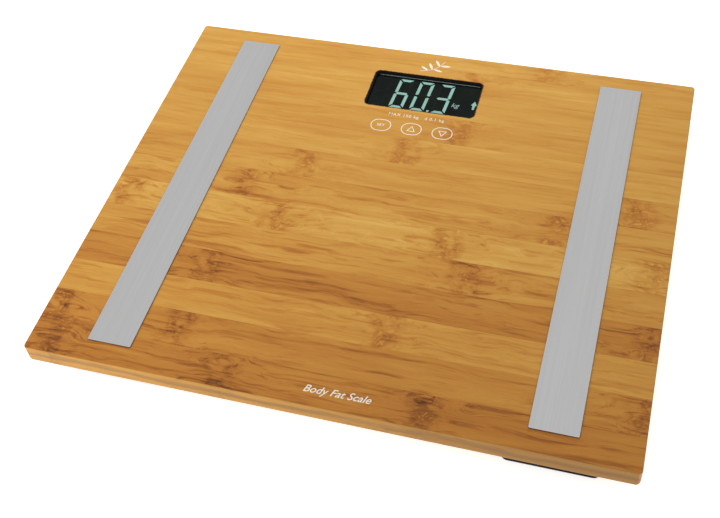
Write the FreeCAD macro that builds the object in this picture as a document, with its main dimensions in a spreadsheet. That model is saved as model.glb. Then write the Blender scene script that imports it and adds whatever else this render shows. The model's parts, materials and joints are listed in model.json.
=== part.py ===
import FreeCAD, Part
import Sketcher
import math
import os
import re

# A bamboo body-composition bathroom scale: a bamboo board with two stainless electrodes and a sunk
# display, standing on four load-cell feet. The origin is the middle of the footprint on the floor,
# +X runs along the board, +Y towards the display edge, +Z up. Millimetres.
DIMENSIONS = {
    # bamboo board
    "board_width": 300, "board_depth": 254, "board_thickness": 12,
    "board_corner": 2, "board_round": 2.7, "board_ease": 0.5, "ground_gap": 10,
    # display window and the bay for the electronics behind it
    "window_y": 91.5, "window_width": 64.7, "window_depth": 30.2, "window_corner": 3,
    "bay_y": 80.7, "bay_width": 92, "bay_depth": 67.4, "bay_height": 10.2, "bay_corner": 4,
    # electrodes and their contacts
    "strip_x": 109, "strip_shift": 0.6, "strip_y": 0.6, "strip_width": 22.9, "strip_length": 232.2,
    "strip_thickness": 0.5, "strip_corner": 0.6, "tape_thickness": 0.1, "tape_margin": 0.2,
    "contact_x": 103, "contact_y": 70, "stud_radius": 1.5, "stud_hole": 1.7, "stud_end": 0.15,
    "contact_pocket_radius": 4.5, "contact_pocket_depth": 2.9,
    "nut_across": 5.5, "nut_height": 2.2, "ring_radius": 3.3, "ring_thickness": 0.5,
    "crimp_radius": 1, "crimp_start": 2.8, "crimp_end": 8.7, "lead_radius": 0.6,
    # wire grooves in the underside, and the tape that closes them
    "groove_width": 4, "groove_depth": 3.5, "groove_bend": 12, "front_groove_y": 56,
    "wire_lift": 1.6, "cable_radius": 0.9, "cable_rise_bend": 2.4,
    "cover_tape_width": 10, "cover_tape_thickness": 0.15, "tape_gap": 0.2,
    # feet: the mount is fixed to the board, the cup with its load cell moves on it
    "foot_x": 110, "foot_y": 98.3, "foot_play": 0.7,
    "mount_size": 40, "mount_corner": 4, "mount_bottom": 7.5, "mount_plate": 1.2,
    "neck_size": 34, "neck_corner": 3, "bearing_radius": 4, "bearing_y": 2,
    "cable_hole_radius": 2, "gauge_y": 8.5,
    "cup_size": 46, "cup_corner": 3.5, "cup_bottom": 0.6, "cup_top": 8.75, "cup_edge": 0.8,
    "cup_wall": 1.8, "cup_floor": 2.4, "claw_width": 12, "claw_reach": 4.2, "claw_height": 0.55,
    "pad_size": 38, "pad_corner": 2.5, "pad_thickness": 1.4, "pad_play": 0.2, "pad_edge": 0.4,
    "ledge_opening": 31, "cell_bottom": 4.4, "cell_size": 38, "cell_corner": 3, "cell_thickness": 1,
    "slot_width": 1.6, "tongue_half": 9, "slot_front": 12, "slot_back": 11,
    "gauge_width": 7, "gauge_depth": 5, "gauge_thickness": 0.3,
    # wood screws
    "screw_radius": 1.3, "screw_point": 1.95, "screw_tip": 0.13, "pilot_radius": 1.35,
    "mount_screw_pitch": 11, "mount_screw_end": 18,
    "mount_head_radius": 2.6, "mount_head_height": 1.1, "mount_head_hole": 2.8,
    "cover_screw_x": 50, "cover_screw_pitch": 37, "cover_screw_end": 17,
    "cover_head_radius": 2.5, "cover_head_height": 0.9, "cover_head_hole": 2.7,
    # display stack, from the bottom of the window down
    "sink_depth": 2.4, "polarizer_thickness": 0.2, "pane_thickness": 1.1, "pane_corner": 0.5,
    "front_pane_width": 72, "front_pane_depth": 37, "rear_pane_depth": 31,
    "polarizer_width": 69, "polarizer_depth": 33, "polarizer_shift": 2.4,
    "rear_polarizer_depth": 30, "guide_width": 68, "guide_depth": 28.6, "guide_thickness": 1.5,
    "light_depth": 5, "light_width": 1.4, "light_height": 1.2, "light_gap": 0.2,
    "zebra_width": 66, "zebra_depth": 1.8, "zebra_y": 17.2,
    "holder_width": 76, "holder_depth": 41.2, "holder_play": 0.2, "holder_corner": 2,
    "collar_wall": 0.5, "collar_play": 0.1, "collar_set_back": 0.6,
    # circuit board and what is on it
    "circuit_width": 84, "circuit_depth": 62.2, "circuit_y": 81.1, "circuit_thickness": 1.2,
    "circuit_corner": 1.5, "circuit_screw_x": 30, "circuit_screw_y": 53.5, "circuit_screw_gap": 14,
    "boss_radius": 2.5, "boss_hole": 0.95, "circuit_hole": 1.2, "circuit_screw_radius": 0.9,
    "circuit_head_radius": 1.8, "circuit_head_height": 0.8, "circuit_screw_depth": 2.1,
    "socket_x": 38.5, "socket_width": 5, "socket_depth": 7, "socket_height": 4.1,
    "blob_x": 24, "blob_y": 92, "blob_radius": 6, "blob_height": 1.5, "blob_round": 1.2,
    "part_y": 98, "part_width": 2, "part_depth": 1.2, "part_height": 0.8, "part_span": 20,
    "key_y": 61.1, "key_pitch": 18, "key_sensor_radius": 4.5,
    # back cover with its battery box
    "cover_width": 108, "cover_depth": 81.5, "cover_y": 80.75, "cover_thickness": 1.8,
    "cover_corner": 7, "cover_edge": 0.8, "cover_play": 0.2,
    "box_bottom": 4, "box_y": 67, "box_width": 31, "box_depth": 31, "box_corner": 2, "box_edge": 0.4,
    "door_seat_width": 28, "door_seat_depth": 28, "door_seat_height": 1.25,
    "cell_y": 67.5, "coin_radius": 10, "coin_hole": 10.4, "coin_bottom": 5.4, "coin_can": 2.9,
    "coin_height": 3.2, "coin_cap_radius": 8.8, "coin_edge": 0.4,
    "contact_strip": 0.2, "minus_width": 16, "minus_depth": 6, "minus_tail_x": 7.9,
    "tail_width": 3, "tail_slot": 0.8, "plus_width": 6, "plus_y": 10.15, "plus_bottom": 5.6,
    # battery door
    "door_width": 27.4, "door_thickness": 1.2, "door_play": 0.3, "barrel_radius": 1.2,
    "hinge_pin_radius": 0.8, "hinge_pin_length": 1.4, "hinge_hole_radius": 0.85,
    "hinge_hole_depth": 1.3, "hinge_y": 54.5, "hinge_z": 5.2, "trough_depth": 3.2,
    "trough_height": 2.7, "tab_width": 8, "tab_depth": 0.9, "tab_thickness": 0.9,
    "scoop_width": 11, "scoop_height": 1.4, "grip_width": 12, "grip_depth": 0.8, "grip_cut": 0.35,
    "grip_start": 5.6, "grip_span": 3.2,
    # unit button and its switch
    "button_x": 30, "button_y": 84, "button_radius": 3.2, "button_hole": 3.5, "button_sink": 0.05,
    "button_round": 0.25, "button_flange_radius": 4.5, "button_flange_hole": 5, "button_flange": 0.5,
    "button_seat": 0.8, "button_stem_radius": 1.2, "switch_size": 6, "switch_height": 2,
    "plunger_radius": 1.6, "plunger_hole": 1.7, "plunger_length": 1, "plunger_inset": 0.4,
    "plunger_hole_depth": 1.1,
}

doc = FreeCAD.newDocument("BathroomScale")
sheet = doc.addObject("Spreadsheet::Sheet", "Dims")
for row, (alias, number) in enumerate(DIMENSIONS.items(), start=1):
    sheet.set(f"A{row}", alias)
    sheet.set(f"B{row}", str(number))
    sheet.setAlias(f"B{row}", alias)
doc.recompute()

pieces = []  # every sub-part that is written to a file of its own
TOLERANCE = 1e-4  # millimetres, or cubic millimetres for a volume
TUBE_TOLERANCE = 0.01  # how far a wire's volume may be from its section times its length, as a share


def bind(text):
    """The expression in which each dimension's bare name reads its cell of the sheet."""
    return re.sub(r"[a-z_]+", lambda word: f"Dims.{word[0]}" if word[0] in DIMENSIONS else word[0], text)


def value(text):
    """What an expression in the dimensions' names comes to, in millimetres."""
    return float(sheet.evalExpression(bind(text)))


def vector(x, y, z=0.0):
    return FreeCAD.Vector(x, y, z)


# ---- outlines that draw themselves in a sketch, with every size bound to the sheet ----

def constrain(sketch, kind, *where, size):
    """Adds a named dimension to the sketch and binds it to the sheet."""
    index = sketch.addConstraint(Sketcher.Constraint(kind, *where, value(size)))
    name = f"size_{index}"
    sketch.renameConstraint(index, name)
    sketch.setExpression(f"Constraints.{name}", bind(size))


def place_point(sketch, geometry, point, x, y):
    """Fixes a point of the sketch at x, y from the origin."""
    constrain(sketch, "DistanceX", -1, 1, geometry, point, size=x)
    constrain(sketch, "DistanceY", -1, 1, geometry, point, size=y)


def rectangle(x, y, width, depth, corner="0"):
    """A rectangle about x, y, with round corners if corner isn't zero."""
    def draw(sketch):
        cx, cy, w, d, r = (value(text) for text in (x, y, width, depth, corner))
        left, right, front, back = cx - w / 2, cx + w / 2, cy - d / 2, cy + d / 2
        ends = [
            ((left + r, front), (right - r, front)), ((right, front + r), (right, back - r)),
            ((right - r, back), (left + r, back)), ((left, back - r), (left, front + r)),
        ]
        turns = [(right - r, front + r), (right - r, back - r), (left + r, back - r), (left + r, front + r)]
        lines = [sketch.addGeometry(Part.LineSegment(vector(*a), vector(*b)), False) for a, b in ends]
        for number, line in enumerate(lines):
            following = lines[(number + 1) % 4]
            if r == 0:
                sketch.addConstraint(Sketcher.Constraint("Coincident", line, 2, following, 1))
                continue
            circle = Part.Circle(vector(*turns[number]), vector(0, 0, 1), r)
            start = math.radians(90 * (number - 1))
            arc = sketch.addGeometry(Part.ArcOfCircle(circle, start, start + math.pi / 2), False)
            sketch.addConstraint(Sketcher.Constraint("Tangent", line, 2, arc, 1))
            sketch.addConstraint(Sketcher.Constraint("Tangent", arc, 2, following, 1))
            constrain(sketch, "Radius", arc, size=corner)
        for number in (0, 2):
            sketch.addConstraint(Sketcher.Constraint("Horizontal", lines[number]))
            sketch.addConstraint(Sketcher.Constraint("Vertical", lines[number + 1]))
        constrain(sketch, "DistanceX", -1, 1, lines[1], 1, size=f"({x}) + ({width}) / 2")
        constrain(sketch, "DistanceX", -1, 1, lines[3], 1, size=f"({x}) - ({width}) / 2")
        constrain(sketch, "DistanceY", -1, 1, lines[2], 1, size=f"({y}) + ({depth}) / 2")
        constrain(sketch, "DistanceY", -1, 1, lines[0], 1, size=f"({y}) - ({depth}) / 2")
    return draw


def circle(x, y, radius):
    """A circle about x, y."""
    def draw(sketch):
        outline = Part.Circle(vector(value(x), value(y)), vector(0, 0, 1), value(radius))
        index = sketch.addGeometry(outline, False)
        constrain(sketch, "Radius", index, size=radius)
        place_point(sketch, index, 3, x, y)
    return draw


def hexagon(x, y, across):
    """A hexagon about x, y with two faces square to X."""
    def draw(sketch):
        cx, cy, reach = value(x), value(y), value(across) / math.sqrt(3)
        turns = [math.radians(60 * corner + 30) for corner in range(6)]
        corners = [vector(cx + reach * math.cos(turn), cy + reach * math.sin(turn)) for turn in turns]
        lines = [
            sketch.addGeometry(Part.LineSegment(corners[n], corners[(n + 1) % 6]), False) for n in range(6)
        ]
        for number, line in enumerate(lines):
            sketch.addConstraint(Sketcher.Constraint("Coincident", line, 2, lines[(number + 1) % 6], 1))
            turn = 60 * number + 30
            place_point(
                sketch, line, 1,
                f"({x}) + ({across}) / sqrt(3) * cos({turn} deg)",
                f"({y}) + ({across}) / sqrt(3) * sin({turn} deg)",
            )
    return draw


def quarter_ring(x, y, inner, outer):
    """A quarter of a ring about x, y, from the +X side to the +Y side."""
    def draw(sketch):
        centre, near, far = vector(value(x), value(y)), value(inner), value(outer)
        arcs = []
        for radius, size in ((near, inner), (far, outer)):
            outline = Part.ArcOfCircle(Part.Circle(centre, vector(0, 0, 1), radius), 0, math.pi / 2)
            arcs.append(sketch.addGeometry(outline, False))
            constrain(sketch, "Radius", arcs[-1], size=size)
            place_point(sketch, arcs[-1], 3, x, y)
        start = Part.LineSegment(centre + vector(near, 0), centre + vector(far, 0))
        end = Part.LineSegment(centre + vector(0, near), centre + vector(0, far))
        for line, point in ((sketch.addGeometry(start, False), 1), (sketch.addGeometry(end, False), 2)):
            sketch.addConstraint(Sketcher.Constraint("Coincident", line, 1, arcs[0], point))
            sketch.addConstraint(Sketcher.Constraint("Coincident", line, 2, arcs[1], point))
            constrain(sketch, "DistanceX" if point == 2 else "DistanceY", -1, 1, line, 1,
                      size=x if point == 2 else y)
    return draw


class Piece:
    """A sub-part built up feature by feature as one PartDesign body."""

    def __init__(self, label, spin=0, x="0", y="0"):
        self.label = label
        self.body = doc.addObject("PartDesign::Body", label)
        self.body.Label = label
        self.body.AllowCompound = True
        self.body.Placement = FreeCAD.Placement(vector(0, 0), FreeCAD.Rotation(vector(0, 0, 1), spin))
        self.body.setExpression("Placement.Base.x", bind(x))
        self.body.setExpression("Placement.Base.y", bind(y))
        pieces.append(self.body)

    def origin(self, role):
        return next(feature for feature in self.body.Origin.OriginFeatures if feature.Role == role)

    def sketch(self, at, outlines, role="XY_Plane"):
        sketch = self.body.newObject("Sketcher::SketchObject", f"{self.label}_sketch")
        sketch.AttachmentSupport = [(self.origin(role), "")]
        sketch.MapMode = "FlatFace"
        sketch.setExpression("AttachmentOffset.Base.z", bind(at))
        doc.recompute()
        for draw in outlines:
            draw(sketch)
        return sketch

    def feature(self, kind, sketch, length):
        feature = self.body.newObject(f"PartDesign::{kind}", f"{self.label}_{kind.lower()}")
        feature.Profile = sketch
        feature.setExpression("Length", bind(length))
        sketch.Visibility = False
        return feature

    def pad(self, at, height, *outlines):
        """Adds the outlines, standing height tall on the level at."""
        feature = self.feature("Pad", self.sketch(at, outlines), height)
        doc.recompute()
        return feature

    def pad_along_x(self, at, length, *outlines):
        """Adds the outlines, drawn in Y and Z, from x = at for the length."""
        feature = self.feature("Pad", self.sketch(at, outlines, "YZ_Plane"), length)
        doc.recompute()
        return feature

    def cut(self, at, depth, *outlines, upwards=False):
        """Cuts the outlines out, downwards from the level at, or upwards from it."""
        before = self.body.Shape.Volume
        feature = self.feature("Pocket", self.sketch(at, outlines), depth)
        feature.Reversed = upwards
        doc.recompute()
        if self.body.Shape.Volume > before - TOLERANCE:
            raise RuntimeError(f"a cut in {self.label} removed nothing")
        return feature

    def cut_along_x(self, at, depth, *outlines):
        """Cuts the outlines, drawn in Y and Z, out towards +X from x = at."""
        before = self.body.Shape.Volume
        feature = self.feature("Pocket", self.sketch(at, outlines, "YZ_Plane"), depth)
        feature.Reversed = True
        doc.recompute()
        if self.body.Shape.Volume > before - TOLERANCE:
            raise RuntimeError(f"a cut in {self.label} removed nothing")
        return feature

    def mirror(self, features, role="YZ_Plane"):
        """Repeats the features on the other side of an origin plane."""
        mirrored = self.body.newObject("PartDesign::Mirrored", f"{self.label}_mirrored")
        mirrored.Originals = features
        mirrored.MirrorPlane = (self.origin(role), [""])
        self.body.Tip = mirrored
        doc.recompute()

    def repeat(self, features, axis, span, count):
        """Repeats the features count times over the span along an origin axis."""
        pattern = self.body.newObject("PartDesign::LinearPattern", f"{self.label}_pattern")
        pattern.Originals = features
        pattern.Direction = (self.origin(axis), [""])
        pattern.setExpression("Length", bind(span))
        pattern.Occurrences = count
        self.body.Tip = pattern
        doc.recompute()

    def dress(self, kind, size, chosen):
        """Rounds or chamfers the edges that chosen picks."""
        tip = self.body.Tip
        names = [f"Edge{n}" for n, edge in enumerate(tip.Shape.Edges, start=1) if chosen(edge)]
        feature = self.body.newObject(f"PartDesign::{kind}", f"{self.label}_{kind.lower()}")
        feature.Base = (tip, names)
        feature.setExpression("Radius" if kind == "Fillet" else "Size", bind(size))
        doc.recompute()


def level(height):
    """Picks edges that lie flat at a height."""
    def chosen(edge):
        bounds = edge.BoundBox
        return max(abs(bounds.ZMin - value(height)), abs(bounds.ZMax - value(height))) < TOLERANCE
    return chosen


def box(label, x, y, bottom, width, depth, height):
    """A plain block about x, y, standing on the level bottom."""
    block = doc.addObject("Part::Box", label)
    block.Label = label
    for name, text in (("Length", width), ("Width", depth), ("Height", height)):
        block.setExpression(name, bind(text))
    block.setExpression("Placement.Base.x", bind(f"({x}) - ({width}) / 2"))
    block.setExpression("Placement.Base.y", bind(f"({y}) - ({depth}) / 2"))
    block.setExpression("Placement.Base.z", bind(bottom))
    return block


def cylinder(label, x, y, bottom, radius, height):
    """An upright cylinder about x, y, standing on the level bottom."""
    drum = doc.addObject("Part::Cylinder", label)
    drum.Label = label
    drum.setExpression("Radius", bind(radius))
    drum.setExpression("Height", bind(height))
    for axis, text in (("x", x), ("y", y), ("z", bottom)):
        drum.setExpression(f"Placement.Base.{axis}", bind(text))
    return drum


def group(label, members):
    """Separate like pieces that share one node."""
    cluster = doc.addObject("Part::Compound", label)
    cluster.Label = label
    cluster.Links = members
    pieces.append(cluster)


def keep(primitive):
    """Makes a primitive a sub-part of its own."""
    pieces.append(primitive)


# ---- levels that many pieces share ----
UNDERSIDE = "ground_gap"
TOP = "(ground_gap + board_thickness)"
BAY_ROOF = "(ground_gap + bay_height)"
WIRE = "(ground_gap + wire_lift)"
STRIP_BASE = f"({TOP} + tape_thickness)"
GLASS_FACE = f"({TOP} - sink_depth)"
FRONT_PANE = f"({GLASS_FACE} - polarizer_thickness - pane_thickness)"
REAR_PANE = f"({FRONT_PANE} - pane_thickness)"
CIRCUIT_TOP = f"({REAR_PANE} - polarizer_thickness - guide_thickness)"
CIRCUIT = f"({CIRCUIT_TOP} - circuit_thickness)"
COVER_FACE = "(ground_gap - cover_thickness)"
CELL_TOP = "(cell_bottom + cell_thickness)"
COIN_ROOF = "(coin_bottom + coin_height + contact_strip)"
CABLE_Y = "(foot_y - gauge_y)"
SIDES = {"left": "-1", "right": "1"}
SURFACE_PARTS = 6
GRIP_GROOVES = 3
SCREW_SIGNS = [(across, along) for across in (-1, 1) for along in (-1, 1)]
CIRCUIT_SCREWS = [(f"{side} * circuit_screw_x", y) for side in (-1, 1)
                  for y in ("circuit_screw_y", "circuit_screw_y + circuit_screw_gap")]
COVER_SCREWS = [(f"{side} * cover_screw_x", f"cover_y + {along} * cover_screw_pitch")
                for side in (-1, 1) for along in (-1, 0, 1)]
# name, side, end, how far the cup has slid on its mount towards the user
FEET = [
    ("front_left", -1, -1, "-foot_play"), ("front_right", 1, -1, "foot_play"),
    ("back_left", -1, 1, "0"), ("back_right", 1, 1, "0"),
]


def bamboo_platform():
    """The board: window, electronics bay, wire grooves and screw holes."""
    board = Piece("bamboo_platform")
    board.pad(UNDERSIDE, "board_thickness",
              rectangle("0", "0", "board_width", "board_depth", "board_corner"))
    board.dress("Fillet", "board_round", level(UNDERSIDE))
    board.dress("Fillet", "board_ease", level(TOP))
    bay = rectangle("0", "bay_y", "bay_width", "bay_depth", "bay_corner")
    window = rectangle("0", "window_y", "window_width", "window_depth", "window_corner")
    board.cut(UNDERSIDE, "bay_height", bay, upwards=True)
    board.cut(TOP, "board_thickness - bay_height", window)
    reach = "(foot_x - bay_width / 2 + groove_width)"
    middle = "(foot_x + bay_width / 2) / 2"
    contact_reach = "(contact_x - bay_width / 2 + groove_width)"
    bend = "(foot_x - groove_bend)"
    bend_y = "(front_groove_y - groove_bend)"
    run = f"({bend_y} + {CABLE_Y} + groove_width / 2)"
    across = "(foot_x - groove_bend - bay_width / 2 + groove_width / 2)"
    grooves = [
        rectangle(middle, CABLE_Y, reach, "groove_width"),
        rectangle("(contact_x + bay_width / 2) / 2", "contact_y", contact_reach, "groove_width"),
        rectangle("foot_x", f"({bend_y} - {CABLE_Y} - groove_width / 2) / 2", "groove_width", run),
        rectangle(f"{bend} - {across} / 2", "front_groove_y", across, "groove_width"),
    ]
    cuts = [board.cut(UNDERSIDE, "groove_depth", groove, upwards=True) for groove in grooves]
    corner = quarter_ring(bend, bend_y, "groove_bend - groove_width / 2", "groove_bend + groove_width / 2")
    cuts.append(board.cut(UNDERSIDE, "groove_depth", corner, upwards=True))
    contact = circle("contact_x", "contact_y", "contact_pocket_radius")
    cuts.append(board.cut(UNDERSIDE, "contact_pocket_depth", contact, upwards=True))
    cuts.append(board.cut(TOP, "board_thickness", circle("contact_x", "contact_y", "stud_hole")))
    mount_pilots = [
        circle(f"foot_x + {across} * mount_screw_pitch", f"{end} * foot_y + {along} * mount_screw_pitch",
               "pilot_radius")
        for end in (-1, 1) for across, along in SCREW_SIGNS
    ]
    cuts.append(board.cut(UNDERSIDE, "mount_screw_end - ground_gap", *mount_pilots, upwards=True))
    cover_pilots = [
        circle("cover_screw_x", f"cover_y + {along} * cover_screw_pitch", "pilot_radius")
        for along in (-1, 0, 1)
    ]
    cuts.append(board.cut(UNDERSIDE, "cover_screw_end - ground_gap", *cover_pilots, upwards=True))
    board.mirror(cuts)


def electrodes():
    """Stainless strips on adhesive tape, and the studs, nuts and ring terminals that connect them."""
    tapes, studs = [], []
    for name, side in SIDES.items():
        strip_x = f"({side} * strip_x + strip_shift)"
        strip = Piece(f"electrode_strip_{name}")
        strip.pad(STRIP_BASE, "strip_thickness",
                  rectangle(strip_x, "strip_y", "strip_width", "strip_length", "strip_corner"))
        tape = doc.addObject("Part::Cut", f"tape_{name}")
        tape.Base = box(f"tape_sheet_{name}", strip_x, "strip_y", TOP,
                        "strip_width - 2 * tape_margin", "strip_length - 2 * tape_margin", "tape_thickness")
        tape.Tool = cylinder(f"tape_hole_{name}", f"{side} * contact_x", "contact_y", TOP, "stud_hole",
                             "tape_thickness")
        tapes.append(tape)
        studs.append(cylinder(f"stud_{name}", f"{side} * contact_x", "contact_y", "ground_gap + stud_end",
                              "stud_radius", f"{STRIP_BASE} - ground_gap - stud_end"))
    group("electrode_tapes", tapes)
    group("contact_studs", studs)
    ring_top = "(ground_gap + contact_pocket_depth)"
    nuts = Piece("contact_nuts")
    nut = nuts.pad(f"{ring_top} - ring_thickness - nut_height", "nut_height",
                   hexagon("contact_x", "contact_y", "nut_across"),
                   circle("contact_x", "contact_y", "stud_radius"))
    nuts.mirror([nut])
    rings = Piece("ring_terminals")
    ring = rings.pad(f"{ring_top} - ring_thickness", "ring_thickness",
                     circle("contact_x", "contact_y", "ring_radius"),
                     circle("contact_x", "contact_y", "stud_radius"))
    crimp = rings.pad_along_x("contact_x - crimp_end", "crimp_end - crimp_start",
                              circle("contact_y", WIRE, "crimp_radius"))
    rings.mirror([ring, crimp])
    for name, side in SIDES.items():
        start = vector(value(f"{side} * (contact_x - crimp_end)"), value("contact_y"), value(WIRE))
        end = vector(value(f"{side} * (socket_x + socket_width / 2)"), value("contact_y"), value(WIRE))
        tube(f"electrode_lead_{name}", [start, end], [], value("lead_radius"))


def tube(label, points, bends, radius):
    """A round wire along straight runs, with an arc tangent to both runs at each inner point."""
    edges, start = [], points[0]
    for before, corner, after, bend in zip(points, points[1:], points[2:], bends):
        inwards, outwards = (before - corner).normalize(), (after - corner).normalize()
        half_angle = inwards.getAngle(outwards) / 2
        reach = bend / math.tan(half_angle)
        centre = corner + (inwards + outwards).normalize() * (bend / math.sin(half_angle))
        middle = centre + (corner - centre).normalize() * bend
        arc_start, arc_end = corner + inwards * reach, corner + outwards * reach
        edges.append(Part.LineSegment(start, arc_start).toShape())
        edges.append(Part.Arc(arc_start, middle, arc_end).toShape())
        start = arc_end
    edges.append(Part.LineSegment(start, points[-1]).toShape())
    path = Part.Wire(edges)
    section = Part.Wire(Part.makeCircle(radius, points[0], points[1] - points[0]))
    wire = doc.addObject("Part::Feature", label)
    wire.Label = label
    wire.Shape = path.makePipeShell([section], True, False)
    wire.Placement = FreeCAD.Placement()
    swept = math.pi * radius ** 2 * path.Length
    if abs(wire.Shape.Volume / swept - 1) > TUBE_TOLERANCE:
        raise RuntimeError(f"{label} has {wire.Shape.Volume:.1f} mm3, not {swept:.1f}")
    print(f"{label}: {path.Length:.1f} mm long, bend radii {bends}")
    pieces.append(wire)


def load_cell_cables():
    """Each load cell's cable rises from its gauge into a groove and runs to its socket."""
    plug_x, wire_z = value("socket_x + socket_width / 2"), value(WIRE)
    gauge_top = value(f"{CELL_TOP} + gauge_thickness")
    rise, bend = value("cable_rise_bend"), value("groove_bend")
    foot_x, cable_y, front_y = value("foot_x"), value(CABLE_Y), value("front_groove_y")
    for name, side, end, _ in FEET:
        points = [vector(side * foot_x, end * cable_y, z) for z in (gauge_top, wire_z)]
        bends = [rise]
        if end < 0:
            points.append(vector(side * foot_x, front_y, wire_z))
            bends.append(bend)
            points.append(vector(side * plug_x, front_y, wire_z))
        else:
            points.append(vector(side * plug_x, cable_y, wire_z))
        tube(f"load_cell_cable_{name}", points, bends, value("cable_radius"))


def groove_tapes():
    """Adhesive tape on the underside that keeps the wires in their grooves."""
    tape = Piece("groove_tapes")
    edge = "(cover_width / 2 + tape_gap)"
    neck = "(neck_size / 2 + tape_gap)"
    level_at, thick = "ground_gap - cover_tape_thickness", "cover_tape_thickness"
    long_start, long_end = f"(-foot_y + {neck})", "(front_groove_y + cover_tape_width / 2)"
    lengthwise = rectangle("foot_x", f"({long_start} + {long_end}) / 2", "cover_tape_width",
                           f"{long_end} - {long_start}")
    runs = [tape.pad(level_at, thick, lengthwise)]
    crossings = [
        ("(foot_x - cover_tape_width / 2)", "front_groove_y"),
        ("(contact_x + contact_pocket_radius + tape_gap)", "contact_y"),
        (f"(foot_x - {neck})", CABLE_Y),
    ]
    for end, y in crossings:
        crosswise = rectangle(f"({edge} + {end}) / 2", y, f"{end} - {edge}", "cover_tape_width")
        runs.append(tape.pad(level_at, thick, crosswise))
    tape.mirror(runs)


def feet():
    """Four feet: a mount on the board, and a cup on it with a rubber pad and a load cell inside."""
    for name, side, end, slide in FEET:
        spin = 0 if end < 0 else 180
        mount = Piece(f"foot_mount_{name}", spin, f"{side} * foot_x", f"{end} * foot_y")
        mount.pad("mount_bottom", "mount_plate",
                  rectangle("0", "0", "mount_size", "mount_size", "mount_corner"))
        mount.pad("mount_bottom + mount_plate", "ground_gap - mount_bottom - mount_plate",
                  rectangle("0", "0", "neck_size", "neck_size", "neck_corner"))
        mount.pad(CELL_TOP, f"mount_bottom - {CELL_TOP}", circle("0", "-bearing_y", "bearing_radius"))
        screw_places = [(f"{across} * mount_screw_pitch", f"{along} * mount_screw_pitch")
                        for across, along in SCREW_SIGNS]
        mount.cut(UNDERSIDE, "ground_gap - mount_bottom", circle("0", "gauge_y", "cable_hole_radius"),
                  *[circle(x, y, "pilot_radius") for x, y in screw_places])
        mount.cut("mount_bottom", "mount_plate",
                  *[circle(x, y, "mount_head_hole") for x, y in screw_places], upwards=True)
        place = (spin, f"{side} * foot_x", f"{end} * foot_y - ({slide})")
        foot_cup(f"foot_cup_{name}", place)
        pad = Piece(f"foot_pad_{name}", *place)
        pad.pad("0", "pad_thickness", rectangle("0", "0", "pad_size", "pad_size", "pad_corner"))
        pad.dress("Fillet", "pad_edge", level("0"))
        load_cell(f"load_cell_{name}", place)
        gauge = Piece(f"strain_gauge_{name}", *place)
        gauge.pad(CELL_TOP, "gauge_thickness", rectangle("0", "gauge_y", "gauge_width", "gauge_depth"))


def foot_cup(label, place):
    """The black plastic cup, whose four claws hook over the mount's plate."""
    cup = Piece(label, *place)
    cup.pad("cup_bottom", "cup_top - cup_bottom", rectangle("0", "0", "cup_size", "cup_size", "cup_corner"))
    cup.dress("Fillet", "cup_edge", level("cup_bottom"))
    inside = "cup_size - 2 * cup_wall"
    cup.cut("cup_top", "cup_top - cell_bottom", rectangle("0", "0", inside, inside, "cup_corner - cup_wall"))
    cup.cut("cell_bottom", "cell_bottom - cup_floor",
            rectangle("0", "0", "ledge_opening", "ledge_opening", "pad_corner"))
    recess = "pad_size + 2 * pad_play"
    cup.cut("cup_bottom", "pad_thickness - cup_bottom",
            rectangle("0", "0", recess, recess, "pad_corner + pad_play"), upwards=True)
    for direction in (-1, 1):
        middle = f"{direction} * (cup_size - claw_reach) / 2"
        cup.pad("cup_top", "claw_height", rectangle(middle, "0", "claw_reach", "claw_width"))
        cup.pad("cup_top", "claw_height", rectangle("0", middle, "claw_width", "claw_reach"))


def load_cell(label, place):
    """A steel plate with a tongue cut free on three sides, which the mount bears on."""
    plate = Piece(label, *place)
    plate.pad("cell_bottom", "cell_thickness", rectangle("0", "0", "cell_size", "cell_size", "cell_corner"))
    slot_x = "(tongue_half + slot_width / 2)"
    plate.cut(CELL_TOP, "cell_thickness",
              *[rectangle(f"{direction} * {slot_x}", "(slot_back - slot_front) / 2", "slot_width",
                          "slot_back + slot_front") for direction in (-1, 1)])
    plate.cut(CELL_TOP, "cell_thickness",
              rectangle("0", "slot_width / 2 - slot_front", "2 * tongue_half + slot_width", "slot_width"))


def screws():
    """Pan-head wood screws for the mounts and the back cover, and the circuit board's small screws."""
    places = [
        (f"{side} * foot_x + {across} * mount_screw_pitch", f"{end} * foot_y + {along} * mount_screw_pitch")
        for _, side, end, _ in FEET for across, along in SCREW_SIGNS
    ]
    screw_group("foot_mount_screws", places, "mount_bottom + mount_plate - mount_head_height",
                "mount_head_height", "mount_head_radius", "mount_screw_end")
    screw_group("back_cover_screws", COVER_SCREWS, COVER_FACE, "cover_head_height", "cover_head_radius",
                "cover_screw_end")


def screw_group(label, places, head_bottom, head_height, head_radius, end):
    """Screws with the head below and a pointed shank above it, each a solid of its own."""
    members = []
    for number, (x, y) in enumerate(places):
        shank_start = f"({head_bottom} + {head_height})"
        screw = doc.addObject("Part::MultiFuse", f"{label}_{number}")
        tip = doc.addObject("Part::Cone", f"{label}_tip_{number}")
        tip.setExpression("Radius1", bind("screw_radius"))
        tip.setExpression("Radius2", bind("screw_tip"))
        tip.setExpression("Height", bind("screw_point"))
        for axis, text in (("x", x), ("y", y), ("z", f"{end} - screw_point")):
            tip.setExpression(f"Placement.Base.{axis}", bind(text))
        screw.Shapes = [
            cylinder(f"{label}_head_{number}", x, y, head_bottom, head_radius, head_height),
            cylinder(f"{label}_shank_{number}", x, y, shank_start, "screw_radius",
                     f"{end} - screw_point - {shank_start}"),
            tip,
        ]
        members.append(screw)
    group(label, members)


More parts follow.
